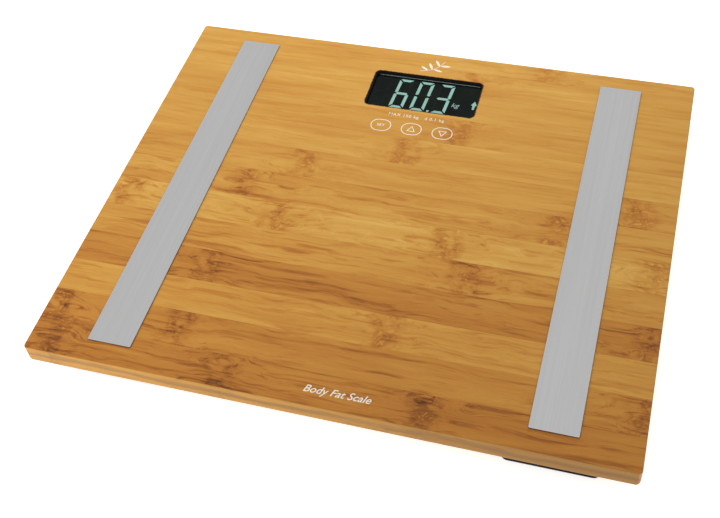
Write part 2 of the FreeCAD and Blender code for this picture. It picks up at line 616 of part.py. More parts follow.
def display():
    """Bezel, liquid-crystal panes, polarizers, light guide, contacts and their holder."""
    bezel = Piece("display_bezel")
    clear_width = "(window_width - 2 * collar_play - 2 * collar_wall)"
    clear_depth = "(window_depth - 2 * collar_play - 2 * collar_wall)"
    bezel.pad(GLASS_FACE, f"{BAY_ROOF} - {GLASS_FACE}",
              rectangle("0", "window_y", "holder_width", "holder_depth", "holder_corner"))
    bezel.pad(BAY_ROOF, f"{TOP} - collar_set_back - {BAY_ROOF}",
              rectangle("0", "window_y", "window_width - 2 * collar_play", "window_depth - 2 * collar_play",
                        "window_corner - collar_play"))
    bezel.cut(TOP, "sink_depth", rectangle("0", "window_y", clear_width, clear_depth,
                                           "window_corner - collar_play - collar_wall"))
    pane = Piece("lcd_front_glass")
    pane.pad(FRONT_PANE, "pane_thickness",
             rectangle("0", "window_y", "front_pane_width", "front_pane_depth", "pane_corner"))
    pane = Piece("lcd_rear_glass")
    pane.pad(REAR_PANE, "pane_thickness",
             rectangle("0", "window_y", "front_pane_width", "rear_pane_depth", "pane_corner"))
    keep(box("lcd_front_polarizer", "0", "window_y - polarizer_shift", f"{GLASS_FACE} - polarizer_thickness",
             "polarizer_width", "polarizer_depth", "polarizer_thickness"))
    keep(box("lcd_rear_polarizer", "0", "window_y", f"{REAR_PANE} - polarizer_thickness",
             "polarizer_width", "rear_polarizer_depth", "polarizer_thickness"))
    guide = Piece("backlight_guide")
    guide.pad(CIRCUIT_TOP, "guide_thickness",
              rectangle("0", "window_y", "guide_width", "guide_depth", "pane_corner"))
    group("backlight_leds", [
        box(f"backlight_led_{name}", f"{side} * (guide_width + light_width + 2 * light_gap) / 2", "window_y",
            CIRCUIT_TOP, "light_width", "light_depth", "light_height") for name, side in SIDES.items()
    ])
    group("zebra_contacts", [
        box(f"zebra_contact_{direction}", "0", f"window_y + {sign} * zebra_y", CIRCUIT_TOP, "zebra_width",
            "zebra_depth", f"{FRONT_PANE} - {CIRCUIT_TOP}")
        for direction, sign in (("front", -1), ("back", 1))
    ])
    holder = Piece("lcd_holder")
    holder.pad(CIRCUIT_TOP, f"{GLASS_FACE} - polarizer_thickness - {CIRCUIT_TOP}",
               rectangle("0", "window_y", "holder_width", "holder_depth", "holder_corner"),
               rectangle("0", "window_y", "front_pane_width + 2 * holder_play",
                         "front_pane_depth + 2 * holder_play", "pane_corner"))


def electronics():
    """The circuit board, its screws, chip, small parts, sockets, key sensors and unit switch."""
    circuit = Piece("circuit_board")
    circuit.pad(CIRCUIT, "circuit_thickness",
                rectangle("0", "circuit_y", "circuit_width", "circuit_depth", "circuit_corner"),
                *[circle(x, y, "circuit_hole") for x, y in CIRCUIT_SCREWS])
    screws_in = Piece("circuit_board_screws")
    screws_in.pad(CIRCUIT_TOP, "circuit_head_height",
                  *[circle(x, y, "circuit_head_radius") for x, y in CIRCUIT_SCREWS])
    screws_in.pad(f"{CIRCUIT} - circuit_screw_depth", f"{CIRCUIT_TOP} - {CIRCUIT} + circuit_screw_depth",
                  *[circle(x, y, "circuit_screw_radius") for x, y in CIRCUIT_SCREWS])
    chip = Piece("chip_blob")
    chip.pad(f"{CIRCUIT} - blob_height", "blob_height", circle("-blob_x", "blob_y", "blob_radius"))
    chip.dress("Fillet", "blob_round", level(f"{CIRCUIT} - blob_height"))
    parts = Piece("surface_parts")
    first = parts.pad(f"{CIRCUIT} - part_height", "part_height",
                      rectangle("-part_span / 2", "part_y", "part_width", "part_depth"))
    parts.repeat([first], "X_Axis", "part_span", SURFACE_PARTS)
    group("cable_sockets", [
        box(f"socket_{name}_{number}", f"{side} * socket_x", y, f"{CIRCUIT} - socket_height", "socket_width",
            "socket_depth", "socket_height")
        for name, side in SIDES.items() for number, y in enumerate(("front_groove_y", "contact_y", CABLE_Y))
    ])
    group("touch_key_sensors", [
        cylinder(f"touch_sensor_{name}", f"{column} * key_pitch", "key_y", CIRCUIT_TOP,
                 "key_sensor_radius", f"{BAY_ROOF} - {CIRCUIT_TOP}")
        for name, column in (("left", -1), ("middle", 0), ("right", 1))
    ])
    switch = Piece("unit_switch")
    switch.pad(f"{CIRCUIT} - switch_height", "switch_height",
               rectangle("button_x", "button_y", "switch_size", "switch_size"))
    switch.cut(f"{CIRCUIT} - switch_height", "plunger_hole_depth",
               circle("button_x", "button_y", "plunger_hole"), upwards=True)


def unit_button():
    """The button in the back cover and the switch plunger that it lifts."""
    button = Piece("unit_button")
    flange = f"({COVER_FACE} + cover_thickness - button_seat + button_sink)"
    plunger = f"({CIRCUIT} - switch_height - plunger_length + plunger_inset)"
    button.pad(f"{COVER_FACE} + button_sink", f"{flange} - {COVER_FACE} - button_sink",
               circle("button_x", "button_y", "button_radius"))
    button.dress("Fillet", "button_round", level(f"{COVER_FACE} + button_sink"))
    button.pad(flange, "button_flange", circle("button_x", "button_y", "button_flange_radius"))
    button.pad(f"{flange} + button_flange", f"{plunger} - {flange} - button_flange",
               circle("button_x", "button_y", "button_stem_radius"))
    keep(cylinder("unit_switch_plunger", "button_x", "button_y", plunger, "plunger_radius",
                  "plunger_length"))


def back_cover():
    """The underside cover, with the battery box, the door's hinge holes and the button's hole."""
    cover = Piece("back_cover")
    cover.pad(COVER_FACE, "cover_thickness",
              rectangle("0", "cover_y", "cover_width", "cover_depth", "cover_corner"))
    cover.dress("Fillet", "cover_edge", level(COVER_FACE))
    cover.pad("box_bottom", f"{COVER_FACE} - box_bottom",
              rectangle("0", "box_y", "box_width", "box_depth", "box_corner"))
    cover.dress("Fillet", "box_edge", level("box_bottom"))
    cover.pad(UNDERSIDE, f"{CIRCUIT} - ground_gap",
              *[circle(x, y, "boss_radius") for x, y in CIRCUIT_SCREWS])
    cover.cut(CIRCUIT, "circuit_screw_depth + cover_play",
              *[circle(x, y, "boss_hole") for x, y in CIRCUIT_SCREWS])
    seat_front = "(box_y - door_seat_depth / 2)"
    cover.cut("box_bottom", "door_seat_height",
              rectangle("0", "box_y", "door_seat_width", "door_seat_depth"), upwards=True)
    cover.cut("box_bottom", "trough_height",
              rectangle("0", f"{seat_front} + trough_depth / 2", "door_seat_width", "trough_depth"),
              upwards=True)
    cover.cut("box_bottom", f"{COIN_ROOF} - box_bottom", circle("0", "cell_y", "coin_hole"), upwards=True)
    box_wall = "(box_depth - door_seat_depth) / 2"
    cover.cut("box_bottom", "scoop_height",
              rectangle("0", f"box_y + box_depth / 2 - {box_wall} / 2", "scoop_width",
                        f"{box_wall} + cover_play"), upwards=True)
    cover.cut("box_bottom", "ground_gap - box_bottom",
              rectangle("0", "cell_y + plus_y + contact_strip / 2", "plus_width + 2 * cover_play",
                        "tail_slot"), upwards=True)
    cover.cut(UNDERSIDE, f"ground_gap - {COIN_ROOF}",
              rectangle("minus_tail_x", "cell_y", "tail_slot", "tail_width + 2 * cover_play"))
    for start in ("door_seat_width / 2", "-door_seat_width / 2 - hinge_hole_depth"):
        cover.cut_along_x(start, "hinge_hole_depth", circle("hinge_y", "hinge_z", "hinge_hole_radius"))
    cover.cut(COVER_FACE, "cover_thickness", circle("button_x", "button_y", "button_hole"), upwards=True)
    cover.cut(UNDERSIDE, "button_seat", circle("button_x", "button_y", "button_flange_hole"))
    cover.cut(UNDERSIDE, "cover_thickness", *[circle(x, y, "pilot_radius") for x, y in COVER_SCREWS])
    cover.cut(COVER_FACE, "cover_head_height", *[circle(x, y, "cover_head_hole") for x, y in COVER_SCREWS],
              upwards=True)


def battery():
    """The coin cell and the two strips that touch it."""
    coin = Piece("coin_cell")
    coin.pad("coin_bottom", "coin_can", circle("0", "cell_y", "coin_radius"))
    coin.dress("Fillet", "coin_edge", level("coin_bottom"))
    coin.pad("coin_bottom + coin_can", "coin_height - coin_can", circle("0", "cell_y", "coin_cap_radius"))
    strip_level = "(coin_bottom + coin_height)"
    minus = Piece("battery_contact_minus")
    minus.pad(strip_level, "contact_strip", rectangle("0", "cell_y", "minus_width", "minus_depth"))
    minus.pad(strip_level, f"{CIRCUIT} - {strip_level}",
              rectangle("minus_tail_x", "cell_y", "contact_strip", "tail_width"))
    plus = Piece("battery_contact_plus")
    plus_y = "(cell_y + plus_y)"
    plus.pad("plus_bottom", f"{COIN_ROOF} - plus_bottom",
             rectangle("0", plus_y, "plus_width", "contact_strip"))
    plus.pad(COIN_ROOF, f"{CIRCUIT} - {COIN_ROOF}", rectangle("0", plus_y, "tail_width", "contact_strip"))


def battery_door():
    """The door: a plate with a hinge barrel along its front edge and a finger tab at the other."""
    door = Piece("battery_door")
    far_edge = "(box_y + door_seat_depth / 2 - door_play)"
    door.pad("box_bottom", "door_thickness",
             rectangle("0", f"(hinge_y + {far_edge}) / 2", "door_width", f"{far_edge} - hinge_y"))
    door.pad_along_x("-door_width / 2", "door_width", circle("hinge_y", "hinge_z", "barrel_radius"))
    door.pad_along_x("-door_width / 2 - hinge_pin_length", "door_width + 2 * hinge_pin_length",
                     circle("hinge_y", "hinge_z", "hinge_pin_radius"))
    door.pad("box_bottom + door_thickness - tab_thickness", "tab_thickness",
             rectangle("0", f"{far_edge} + tab_depth / 2", "tab_width", "tab_depth"))
    groove = door.cut("box_bottom", "grip_cut",
                      rectangle("0", f"{far_edge} - grip_start", "grip_width", "grip_depth"), upwards=True)
    door.repeat([groove], "Y_Axis", "grip_span", GRIP_GROOVES)


bamboo_platform()
electrodes()
load_cell_cables()
groove_tapes()
feet()
screws()
display()
electronics()
back_cover()
battery()
battery_door()
unit_button()
doc.recompute()

faults = [f"{item.Label} is {state}" for item in doc.Objects for state in item.State
          if state in ("Invalid", "Error")]
faults += [f"{piece.Label} has no valid solid" for piece in pieces
           if piece.Shape.isNull() or not piece.Shape.isValid() or not piece.Shape.Solids]
if faults:
    raise RuntimeError("; ".join(faults))

os.makedirs("parts", exist_ok=True)
for piece in pieces:
    piece.Shape.exportStep(f"parts/{piece.Label}.step")
    bounds = piece.Shape.BoundBox
    print(f"{piece.Label}: {len(piece.Shape.Solids)} solids, {piece.Shape.Volume:.1f} mm3, "
          f"z {bounds.ZMin:.2f} to {bounds.ZMax:.2f}")
print(len(pieces), "nodes")
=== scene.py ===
"""The looks of a bamboo bathroom scale: its finishes, display, prints, strips, screws and pads."""

import json
import math

import bmesh
import bpy
from bpy.props import FloatProperty, FloatVectorProperty, IntProperty, PointerProperty, StringProperty
from mathutils import Matrix, Quaternion, Vector


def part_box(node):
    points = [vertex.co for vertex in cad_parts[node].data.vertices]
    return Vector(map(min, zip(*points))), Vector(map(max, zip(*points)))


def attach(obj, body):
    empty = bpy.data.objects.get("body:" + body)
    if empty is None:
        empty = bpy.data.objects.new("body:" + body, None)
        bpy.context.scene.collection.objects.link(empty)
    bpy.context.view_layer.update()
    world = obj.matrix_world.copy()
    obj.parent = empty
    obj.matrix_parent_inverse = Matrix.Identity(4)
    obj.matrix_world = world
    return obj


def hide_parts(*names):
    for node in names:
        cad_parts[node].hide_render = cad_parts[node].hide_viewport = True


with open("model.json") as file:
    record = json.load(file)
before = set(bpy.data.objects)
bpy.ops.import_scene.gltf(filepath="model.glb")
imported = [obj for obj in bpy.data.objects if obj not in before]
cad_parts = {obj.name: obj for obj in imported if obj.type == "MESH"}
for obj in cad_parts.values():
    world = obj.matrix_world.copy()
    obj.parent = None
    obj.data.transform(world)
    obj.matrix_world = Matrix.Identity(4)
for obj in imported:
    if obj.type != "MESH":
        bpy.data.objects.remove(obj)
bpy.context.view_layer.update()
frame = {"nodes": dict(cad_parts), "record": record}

bl_info = {
    "name": "Bamboo Bathroom Scale",
    "version": (1, 0, 0),
    "blender": (4, 5, 0),
    "location": "View3D > Sidebar > Scale",
    "description": "Finishes, display, prints, strips, screws and pads of a bamboo bathroom scale",
    "category": "Object",
}

MM = 0.001
BOARD_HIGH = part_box("bamboo_platform")[1]
FEET = ("front_left", "front_right", "back_left", "back_right")
SIDES = ("left", "right")

# How much the letters' strokes are widened on each side.
LIGHT, MEDIUM, BOLD = 0.02 * MM, 0.03 * MM, 0.05 * MM

# Each lamella of the board from the rear edge: how pale it is, how streaky, and how wavy its grain is.
LAMELLAE = (
    (0.87, 0.35, 0.3),
    (0.86, 0.30, 0.2),
    (0.86, 0.25, 0.2),
    (0.82, 0.35, 0.3),
    (0.86, 0.30, 0.3),
    (0.83, 0.40, 0.4),
    (0.82, 0.75, 0.8),
    (0.92, 0.60, 0.9),
    (0.80, 0.75, 0.7),
    (0.62, 0.80, 0.6),
    (0.82, 0.55, 0.6),
    (0.665, 0.80, 0.5),
    (0.58, 0.80, 0.5),
)

# The knots of each lamella: how far right of the middle in millimetres, and how faint from 0.
KNOTS = {
    0: ((67, 3),),
    1: ((26, 4),),
    3: ((27, 4),),
    4: ((1, 2),),
    5: ((-52, 1), (130, 2)),
    6: ((-78.5, 2), (91, 0)),
    7: ((-142.5, 1), (-54, 1), (38.7, 0), (143, 3)),
    8: ((53, 0),),
    9: ((-79, 0), (147, 2)),
    10: ((22.7, 0),),
    11: ((-143.5, 1), (-79, 1), (146, 2)),
    12: ((-138, 2), (-49, 2), (50, 1)),
}

# The seven bars of a digit, and which of them each shown digit lights.
BARS = ("top", "upper_left", "upper_right", "middle", "lower_left", "lower_right", "bottom")
LIT_BARS = {
    "": (),
    "6": ("top", "upper_left", "middle", "lower_left", "lower_right", "bottom"),
    "0": ("top", "upper_left", "upper_right", "lower_left", "lower_right", "bottom"),
    "3": ("top", "upper_right", "middle", "lower_right", "bottom"),
}


def length(name, millimetres, description):
    """A length property in metres, given in millimetres."""
    return FloatProperty(
        name=name,
        description=description,
        default=millimetres * MM,
        precision=5,
        subtype="DISTANCE",
        unit="LENGTH",
    )


def share(name, default, description):
    """A property from 0 to 1."""
    return FloatProperty(name=name, description=description, default=default, min=0, max=1)


def colour(name, default, description):
    """A linear colour property."""
    return FloatVectorProperty(
        name=name, description=description, default=default, subtype="COLOR", min=0, max=1
    )


def spot(name, default, description):
    """A point in metres."""
    return FloatVectorProperty(
        name=name, description=description, default=default, precision=4, subtype="XYZ", unit="LENGTH"
    )


def place(name, right, behind, description):
    """A place on the board, given in millimetres right of its middle and behind it."""
    return FloatVectorProperty(
        name=name,
        description=description,
        default=(right * MM, behind * MM),
        size=2,
        precision=5,
        subtype="XYZ",
        unit="LENGTH",
    )


def watts(name, default, description):
    """The power of a light."""
    return FloatProperty(name=name, description=description, default=default, unit="POWER")


class BambooLook(bpy.types.PropertyGroup):
    """The laminated board."""

    lamella: length("Lamella", 20.28, "Width of one glued lamella")
    first_joint: length("First joint", 114.4, "How far behind the middle the first glue joint lies")
    broad: share("Broad shading", 0.2, "Strength of the slow changes along the grain")
    streaks: share("Streaks", 0.42, "Strength of the darker streaks")
    fibres: share("Fibres", 0.16, "Strength of the fine fibres")
    knots: share("Knots", 0.34, "Strength of the knots")
    edge_lift: share("Edge lift", 0.04, "How much paler the planed edges are than the top")
    roughness: share("Roughness", 0.46, "Roughness of the satin varnish")
    window_width: length("Window width", 64.7, "Width of the display window")
    window_depth: length("Window depth", 30.2, "Depth of the display window")
    window_corner: length("Window corner", 3, "Radius of the window's corners")
    window_y: length("Window place", 91.5, "How far behind the middle the window lies")
    char_width: length("Char width", 0.6, "Width of the scorched fringe round the window")


class StripLook(bpy.types.PropertyGroup):
    """The stainless electrode strips."""

    corner: length("Corner", 0.6, "Radius of the strips' corners")
    edge: length("Edge", 0.12, "Rounding of the strips' upper edges")
    steel: colour("Steel", (0.97, 0.97, 0.96), "Colour of the brushed steel")
    roughness: share("Roughness", 0.42, "Roughness of the brushed steel")
    # Painted shade: a near-black colour on the strips' side faces stands in for the shade they lie in.
    side_shade: colour("Sheared edge", (0.05, 0.04, 0.03), "Colour of the strips' dull sheared edges")


class DisplayLook(bpy.types.PropertyGroup):
    """What the liquid-crystal display shows."""

    digits: StringProperty(name="Digits", description="Digits shown, blank where none", default=" 603")
    digit_height: length("Digit height", 24.6, "Height of a digit")
    digit_width: length("Digit width", 8.6, "Width of a digit")
    digit_pitch: length("Digit pitch", 12.35, "Distance from one digit to the next")
    digit_y: length("Digit place", 91.5, "How far behind the middle the digits are")
    last_digit_x: length("Last digit", 11.15, "How far right of the middle the last digit is")
    bar: length("Bar", 1.8, "Width of one bar of a digit")
    gap: length("Gap", 0.9, "Gap between two bars")
    slant: share("Slant", 0.065, "How far a digit leans for each unit of its height")
    print_height: length("Thickness", 0.04, "Thickness of the lit shapes")
    point_shift: length("Point shift", 0.3, "How far left of its gap's middle the point lies")
    unit_size: length("Unit size", 4.9, "Size of the unit letters")
    unit_place: place("Unit place", 19.2, 87.5, "Middle of the unit letters")
    arrow_place: place("Arrow place", 29.9, 89.4, "Middle of the mode arrow")
    lit: colour("Lit", (0.22, 0.40, 0.34), "Colour of the lit bars")
    dim: colour("Dim", (0.24, 0.34, 0.31), "Colour of the unit letters")
    unlit: colour("Unlit", (0.0062, 0.0098, 0.0080), "Colour of the unlit bars")


class PrintLook(bpy.types.PropertyGroup):
    """The prints on the board."""

    ink: colour("Ink", (0.93, 0.87, 0.72), "Colour of the print")
    thickness: length("Thickness", 0.03, "Thickness of the ink")
    key_width: length("Key width", 11.8, "Width of a key's outline")
    key_depth: length("Key depth", 9.4, "Depth of a key's outline")
    key_corner: length("Key corner", 4.6, "Corner radius of a key's outline")
    key_stroke: length("Key stroke", 0.48, "Line width of a key's outline")
    key_pitch: length("Key pitch", 17.8, "Distance from one key to the next")
    key_y: length("Key place", 61.1, "How far behind the middle the keys are")
    key_word: length("Key word", 2.7, "Size of the word in a key")
    rating: StringProperty(name="Rating", description="Line above the keys", default="MAX 150 kg   d 0.1 kg")
    rating_size: length("Rating size", 3.05, "Size of the rating line")
    rating_place: place("Rating place", 0.4, 71, "Middle of the rating line")
    front: StringProperty(name="Front", description="Words near the front edge", default="Body Fat Scale")
    front_size: length("Front size", 5.6, "Size of the words near the front edge")
    front_place: place("Front place", 9.2, -118, "Middle of the words near the front edge")
    sprig_place: place("Sprig place", 1, 116, "Middle of the leaf sprig")


class UndersideLook(bpy.types.PropertyGroup):
    """The pads, screws and moulded marks underneath."""

    pad_corner: length("Pad corner", 2.5, "Radius of a pad's corners")
    pad_edge: length("Pad edge", 0.4, "Rounding of a pad's lower edge")
    rib: length("Rib", 1.9, "Width of a pad's rib")
    groove: length("Groove", 1, "Width of a pad's groove")
    groove_depth: length("Groove depth", 0.5, "Depth of a pad's groove")
    groove_slope: length("Groove slope", 0.15, "How far a groove's wall leans")
    grooves: IntProperty(name="Grooves", description="Grooves from a pad's edge to its middle", default=4)
    head: length("Head", 5, "Width of a cover screw's head")
    head_height: length("Head height", 0.9, "Height of a cover screw's head")
    shank: length("Shank", 2.6, "Width of a cover screw over its thread")
    pitch: length("Pitch", 1.1, "Distance from one turn of the thread to the next")
    segments: IntProperty(name="Segments", description="Sides of a screw's round parts", default=40)
    recess: length("Recess", 2.7, "Width of a screw's cross recess")
    recess_slot: length("Recess slot", 0.7, "Width of one slot of the cross recess")
    recess_depth: length("Recess depth", 0.65, "Depth of the cross recess")
    mark_height: length("Mark height", 0.15, "How far the moulded marks stand out")
    mark_size: length("Mark size", 3.4, "Size of the moulded letters")
    ring: length("Ring", 11, "Width of the ring round the unit button")
    button_words: length("Button words", 8, "How far from the unit button its words are")
    plate_place: place("Plate place", -32, 98, "Middle of the rating plate")
    plate_width: length("Plate width", 32, "Width of the line round the rating plate")
    plate_depth: length("Plate depth", 19, "Depth of the line round the rating plate")
    door_word_y: length("Door word", 64, "How far behind the middle the door's word is")
    door_arrow_y: length("Door arrow", 68.5, "How far behind the middle the door's arrow is")


class StageLook(bpy.types.PropertyGroup):
    """Floor, lights and camera."""

    floor: colour("Floor", (0.95, 0.95, 0.95), "Colour of the floor")
    floor_size: length("Floor size", 6000, "Half of the floor's side")
    floor_glow: share("Floor glow", 0.68, "How much the floor shines by itself")
    sky: share("Sky", 0.49, "Strength of the even light from all sides")
    key_power: watts("Key light", 1.25, "Power of the key light")
    key_place: spot("Key place", (-0.06, 0.36, 0.40), "Where the key light is")
    fill_power: watts("Fill light", 0.75, "Power of the fill light")
    fill_place: spot("Fill place", (-0.34, -0.26, 0.27), "Where the fill light is")
    light_size: length("Light size", 250, "Side of a square light")
    camera_place: spot("Camera place", (0.1253, -0.3768, 0.4545), "Where the camera is")
    camera_aim: spot("Camera aim", (-0.0024, -0.0369, 0.022), "What the camera points at")
    camera_roll: FloatProperty(
        name="Camera roll",
        description="Turn of the camera about its line of sight",
        default=math.radians(-6.27),
        subtype="ANGLE",
    )
    camera_lens: FloatProperty(name="Lens", description="Focal length in millimetres", default=55.25)


class Finish:
    """One material as it is put together: adds its nodes, links what they read and sets the rest."""

    def __init__(self, name, roughness=0.5, metallic=0.0, **sockets):
        self.material = bpy.data.materials.new(name)
        self.material.use_nodes = True
        self.nodes = self.material.node_tree.nodes
        self.shader = self.nodes["Principled BSDF"]
        place = self.nodes.new("ShaderNodeTexCoord").outputs["Object"]
        self.place = self.vector("SCALE", place, scale=1 / MM)
        self.shade("Roughness", roughness)
        self.shade("Metallic", metallic)
        for name_of_socket, value in sockets.items():
            self.shade(name_of_socket.replace("_", " ").capitalize(), value)

    def feed(self, socket, value):
        """Links an output to a socket, or sets the socket to a plain value."""
        if isinstance(value, bpy.types.NodeSocket):
            self.material.node_tree.links.new(value, socket)
        else:
            socket.default_value = value

    def shade(self, socket, value):
        """Gives a socket of the surface shader its value."""
        names = {name.lower(): name for name in self.shader.inputs.keys()}
        if isinstance(value, tuple) and len(value) == 3:
            value = (*value, 1)
        self.feed(self.shader.inputs[names[socket.lower()]], value)

    def calculate(self, operation, *values):
        """A sum on numbers or outputs."""
        node = self.nodes.new("ShaderNodeMath")
        node.operation = operation
        for socket, value in zip(node.inputs, values):
            self.feed(socket, value)
        return node.outputs[0]

    def times(self, first, second):
        """The product of two numbers or outputs."""
        return self.calculate("MULTIPLY", first, second)

    def minus(self, first, second):
        """The difference of two numbers or outputs."""
        return self.calculate("SUBTRACT", first, second)

    def vector(self, operation, *values, scale=None):
        """A sum on vectors."""
        node = self.nodes.new("ShaderNodeVectorMath")
        node.operation = operation
        for socket, value in zip(node.inputs, values):
            self.feed(socket, value)
        if scale is not None:
            self.feed(node.inputs["Scale"], scale)
        measured = operation in ("DISTANCE", "LENGTH")
        return node.outputs["Value" if measured else "Vector"]

    def split(self, vector):
        """The x, y and z of a vector."""
        node = self.nodes.new("ShaderNodeSeparateXYZ")
        self.feed(node.inputs[0], vector)
        return tuple(node.outputs)

    def join(self, *values):
        """A vector from x, y and z."""
        node = self.nodes.new("ShaderNodeCombineXYZ")
        for socket, value in zip(node.inputs, values):
            self.feed(socket, value)
        return node.outputs[0]

    def noise(self, vector, scale, phase=0.0, detail=2.0, roughness=0.5, distortion=0.0):
        """Noise from 0 to 1 with the given number of waves per millimetre along x, y and z."""
        node = self.nodes.new("ShaderNodeTexNoise")
        node.noise_dimensions = "4D"
        self.feed(node.inputs["Vector"], self.vector("MULTIPLY", vector, scale))
        self.feed(node.inputs["W"], phase)
        self.feed(node.inputs["Scale"], 1.0)
        self.feed(node.inputs["Detail"], detail)
        self.feed(node.inputs["Roughness"], roughness)
        self.feed(node.inputs["Distortion"], distortion)
        return node.outputs[0]

    def remap(self, value, start, end, to_start=0.0, to_end=1.0):
        """The value's way from start to end, eased into one from to_start to to_end."""
        node = self.nodes.new("ShaderNodeMapRange")
        node.interpolation_type = "SMOOTHSTEP"
        for socket, number in zip(node.inputs, (value, start, end, to_start, to_end)):
            self.feed(socket, number)
        return node.outputs[0]

    def ramp(self, value, stops, interpolation="LINEAR"):
        """A colour for the value, from (place, colour) stops."""
        node = self.nodes.new("ShaderNodeValToRGB")
        node.color_ramp.interpolation = interpolation
        elements = node.color_ramp.elements
        while len(elements) < len(stops):
            elements.new(1)
        for element, (place, tint) in zip(elements, stops):
            element.position = place
            element.color = (*tint, 1)
        self.feed(node.inputs[0], value)
        return node.outputs[0]

    def mix(self, factor, first, second):
        """Two colours mixed."""
        node = self.nodes.new("ShaderNodeMixRGB")
        for socket, value in zip(node.inputs, (factor, first, second)):
            if isinstance(value, tuple):
                value = (*value, 1)
            self.feed(socket, value)
        return node.outputs[0]

    def bump(self, height, distance):
        """Relief of the given height in metres."""
        node = self.nodes.new("ShaderNodeBump")
        self.feed(node.inputs["Height"], height)
        self.feed(node.inputs["Distance"], distance)
        self.shade("Normal", node.outputs[0])


def speckled(finish, tint, spread, scale, relief, detail=3.0):
    """Gives a finish its tint with a slight unevenness, and relief of the same grain."""
    grain = finish.noise(finish.place, scale, detail=detail)
    dark = tuple(part * (1 - spread) for part in tint)
    light = tuple(min(1.0, part * (1 + spread)) for part in tint)
    finish.shade("Base Color", finish.mix(finish.remap(grain, 0.3, 0.7), dark, light))
    finish.bump(grain, relief)
    return grain


def moulded(name, tint, roughness=0.45, grain=2.5, relief=0.00004, shine=0.3):
    """Moulded plastic or rubber with an even spark-eroded grain."""
    finish = Finish(name, specular_ior_level=shine)
    height = speckled(finish, tint, 0.12, (grain, grain, grain), relief)
    finish.shade("Roughness", finish.remap(height, 0.2, 0.8, roughness - 0.06, roughness + 0.08))
    return finish.material


def metal(name, tint, roughness=0.3, waves=(3.0, 3.0, 3.0), relief=0.00001):
    """Rolled, plated or turned metal: faint marks in the given waves per millimetre."""
    finish = Finish(name, metallic=1.0)
    marks = speckled(finish, tint, 0.08, waves, relief, detail=4.0)
    finish.shade("Roughness", finish.remap(marks, 0.25, 0.75, roughness - 0.07, roughness + 0.1))
    return finish.material


def clear(name, tint, transmission, roughness=0.12):
    """Glass or clear plastic with faint smears."""
    finish = Finish(name, transmission_weight=transmission, ior=1.5)
    smears = speckled(finish, tint, 0.05, (0.3, 0.3, 0.3), 0.000002)
    finish.shade("Roughness", finish.remap(smears, 0.3, 0.7, roughness, roughness + 0.08))
    return finish.material


def glowing(name, tint, glow, unevenness=0.08):
    """A lit or backlit surface."""
    finish = Finish(name, roughness=0.35, emission_strength=glow)
    cloud = finish.noise(finish.place, (0.12, 0.12, 0.12), detail=1.0)
    dim = tuple(part * (1 - unevenness) for part in tint)
    lit = finish.mix(finish.remap(cloud, 0.3, 0.7), dim, tint)
    finish.shade("Base Color", lit)
    finish.shade("Emission Color", lit)
    return finish.material


def laminate(name, tint):
    """Green circuit laminate: the weave shows through, and copper tracks run under the mask."""
    finish = Finish(name, roughness=0.35, coat_weight=0.4, coat_roughness=0.15)
    x, y, _ = finish.split(finish.place)
    slanting = finish.calculate("MULTIPLY_ADD", y, 0.4, x)
    rows = finish.calculate("PINGPONG", slanting, 1.3)
    wander = finish.noise(finish.place, (0.16, 0.16, 0.16), detail=0.0)
    tracks = finish.remap(finish.calculate("ADD", rows, wander), 1.0, 1.12)
    bright = tuple(min(1.0, part * 1.9 + 0.015) for part in tint)
    finish.shade("Base Color", finish.mix(tracks, tint, bright))
    finish.bump(tracks, 0.00003)
    return finish.material


def striped_rubber(name, tint):
    """Zebra rubber: thin conducting layers between insulating ones."""
    finish = Finish(name, roughness=0.6)
    x = finish.split(finish.place)[0]
    layer = finish.remap(finish.calculate("PINGPONG", x, 0.25), 0.1, 0.15)
    dark = tuple(part * 0.15 for part in tint)
    finish.shade("Base Color", finish.mix(layer, dark, tint))
    finish.bump(layer, 0.00002)
    return finish.material


def window_glass_film(name, tint):
    """The glossy dark polarizer over the display, with a faint cloudiness."""
    finish = Finish(name, specular_ior_level=0.12)
    cloud = speckled(finish, tint, 0.3, (0.09, 0.09, 0.09), 0.000002)
    finish.shade("Roughness", finish.remap(cloud, 0.3, 0.7, 0.12, 0.22))
    return finish.material


def brushed_steel(look, top):
    """Stainless sheet brushed along its length, with painted shade on its dull cut side faces below its
    rounded rim.
    """
    finish = Finish("brushed_steel", metallic=1.0)
    fine = finish.noise(finish.place, (9.0, 0.03, 1.0), detail=3.0, roughness=0.7)
    broad = finish.noise(finish.place, (0.9, 0.008, 0.2), detail=2.0)
    shine = finish.calculate("MULTIPLY_ADD", fine, 0.6, finish.times(broad, 0.4))
    steel = tuple(look.steel)
    dark = tuple(part * 0.94 for part in steel)
    light = tuple(min(1.0, part * 1.05) for part in steel)
    height = finish.split(finish.place)[2]
    # The side faces below the rounded rim get painted shade, a near-black colour, and more roughness as dull
    # cut steel.
    rim = (top - look.edge / 2) / MM
    side_shade = finish.remap(height, rim, rim - 0.06)
    brushed = finish.mix(finish.remap(shine, 0.3, 0.7), dark, light)
    finish.shade("Base Color", finish.mix(side_shade, brushed, tuple(look.side_shade)))
    rough = finish.remap(fine, 0.25, 0.75, look.roughness - 0.06, look.roughness + 0.08)
    finish.shade("Roughness", finish.calculate("MULTIPLY_ADD", side_shade, 0.3, rough))
    finish.shade("Anisotropic", 0.5)
    finish.bump(fine, 0.000006)
    return finish.material


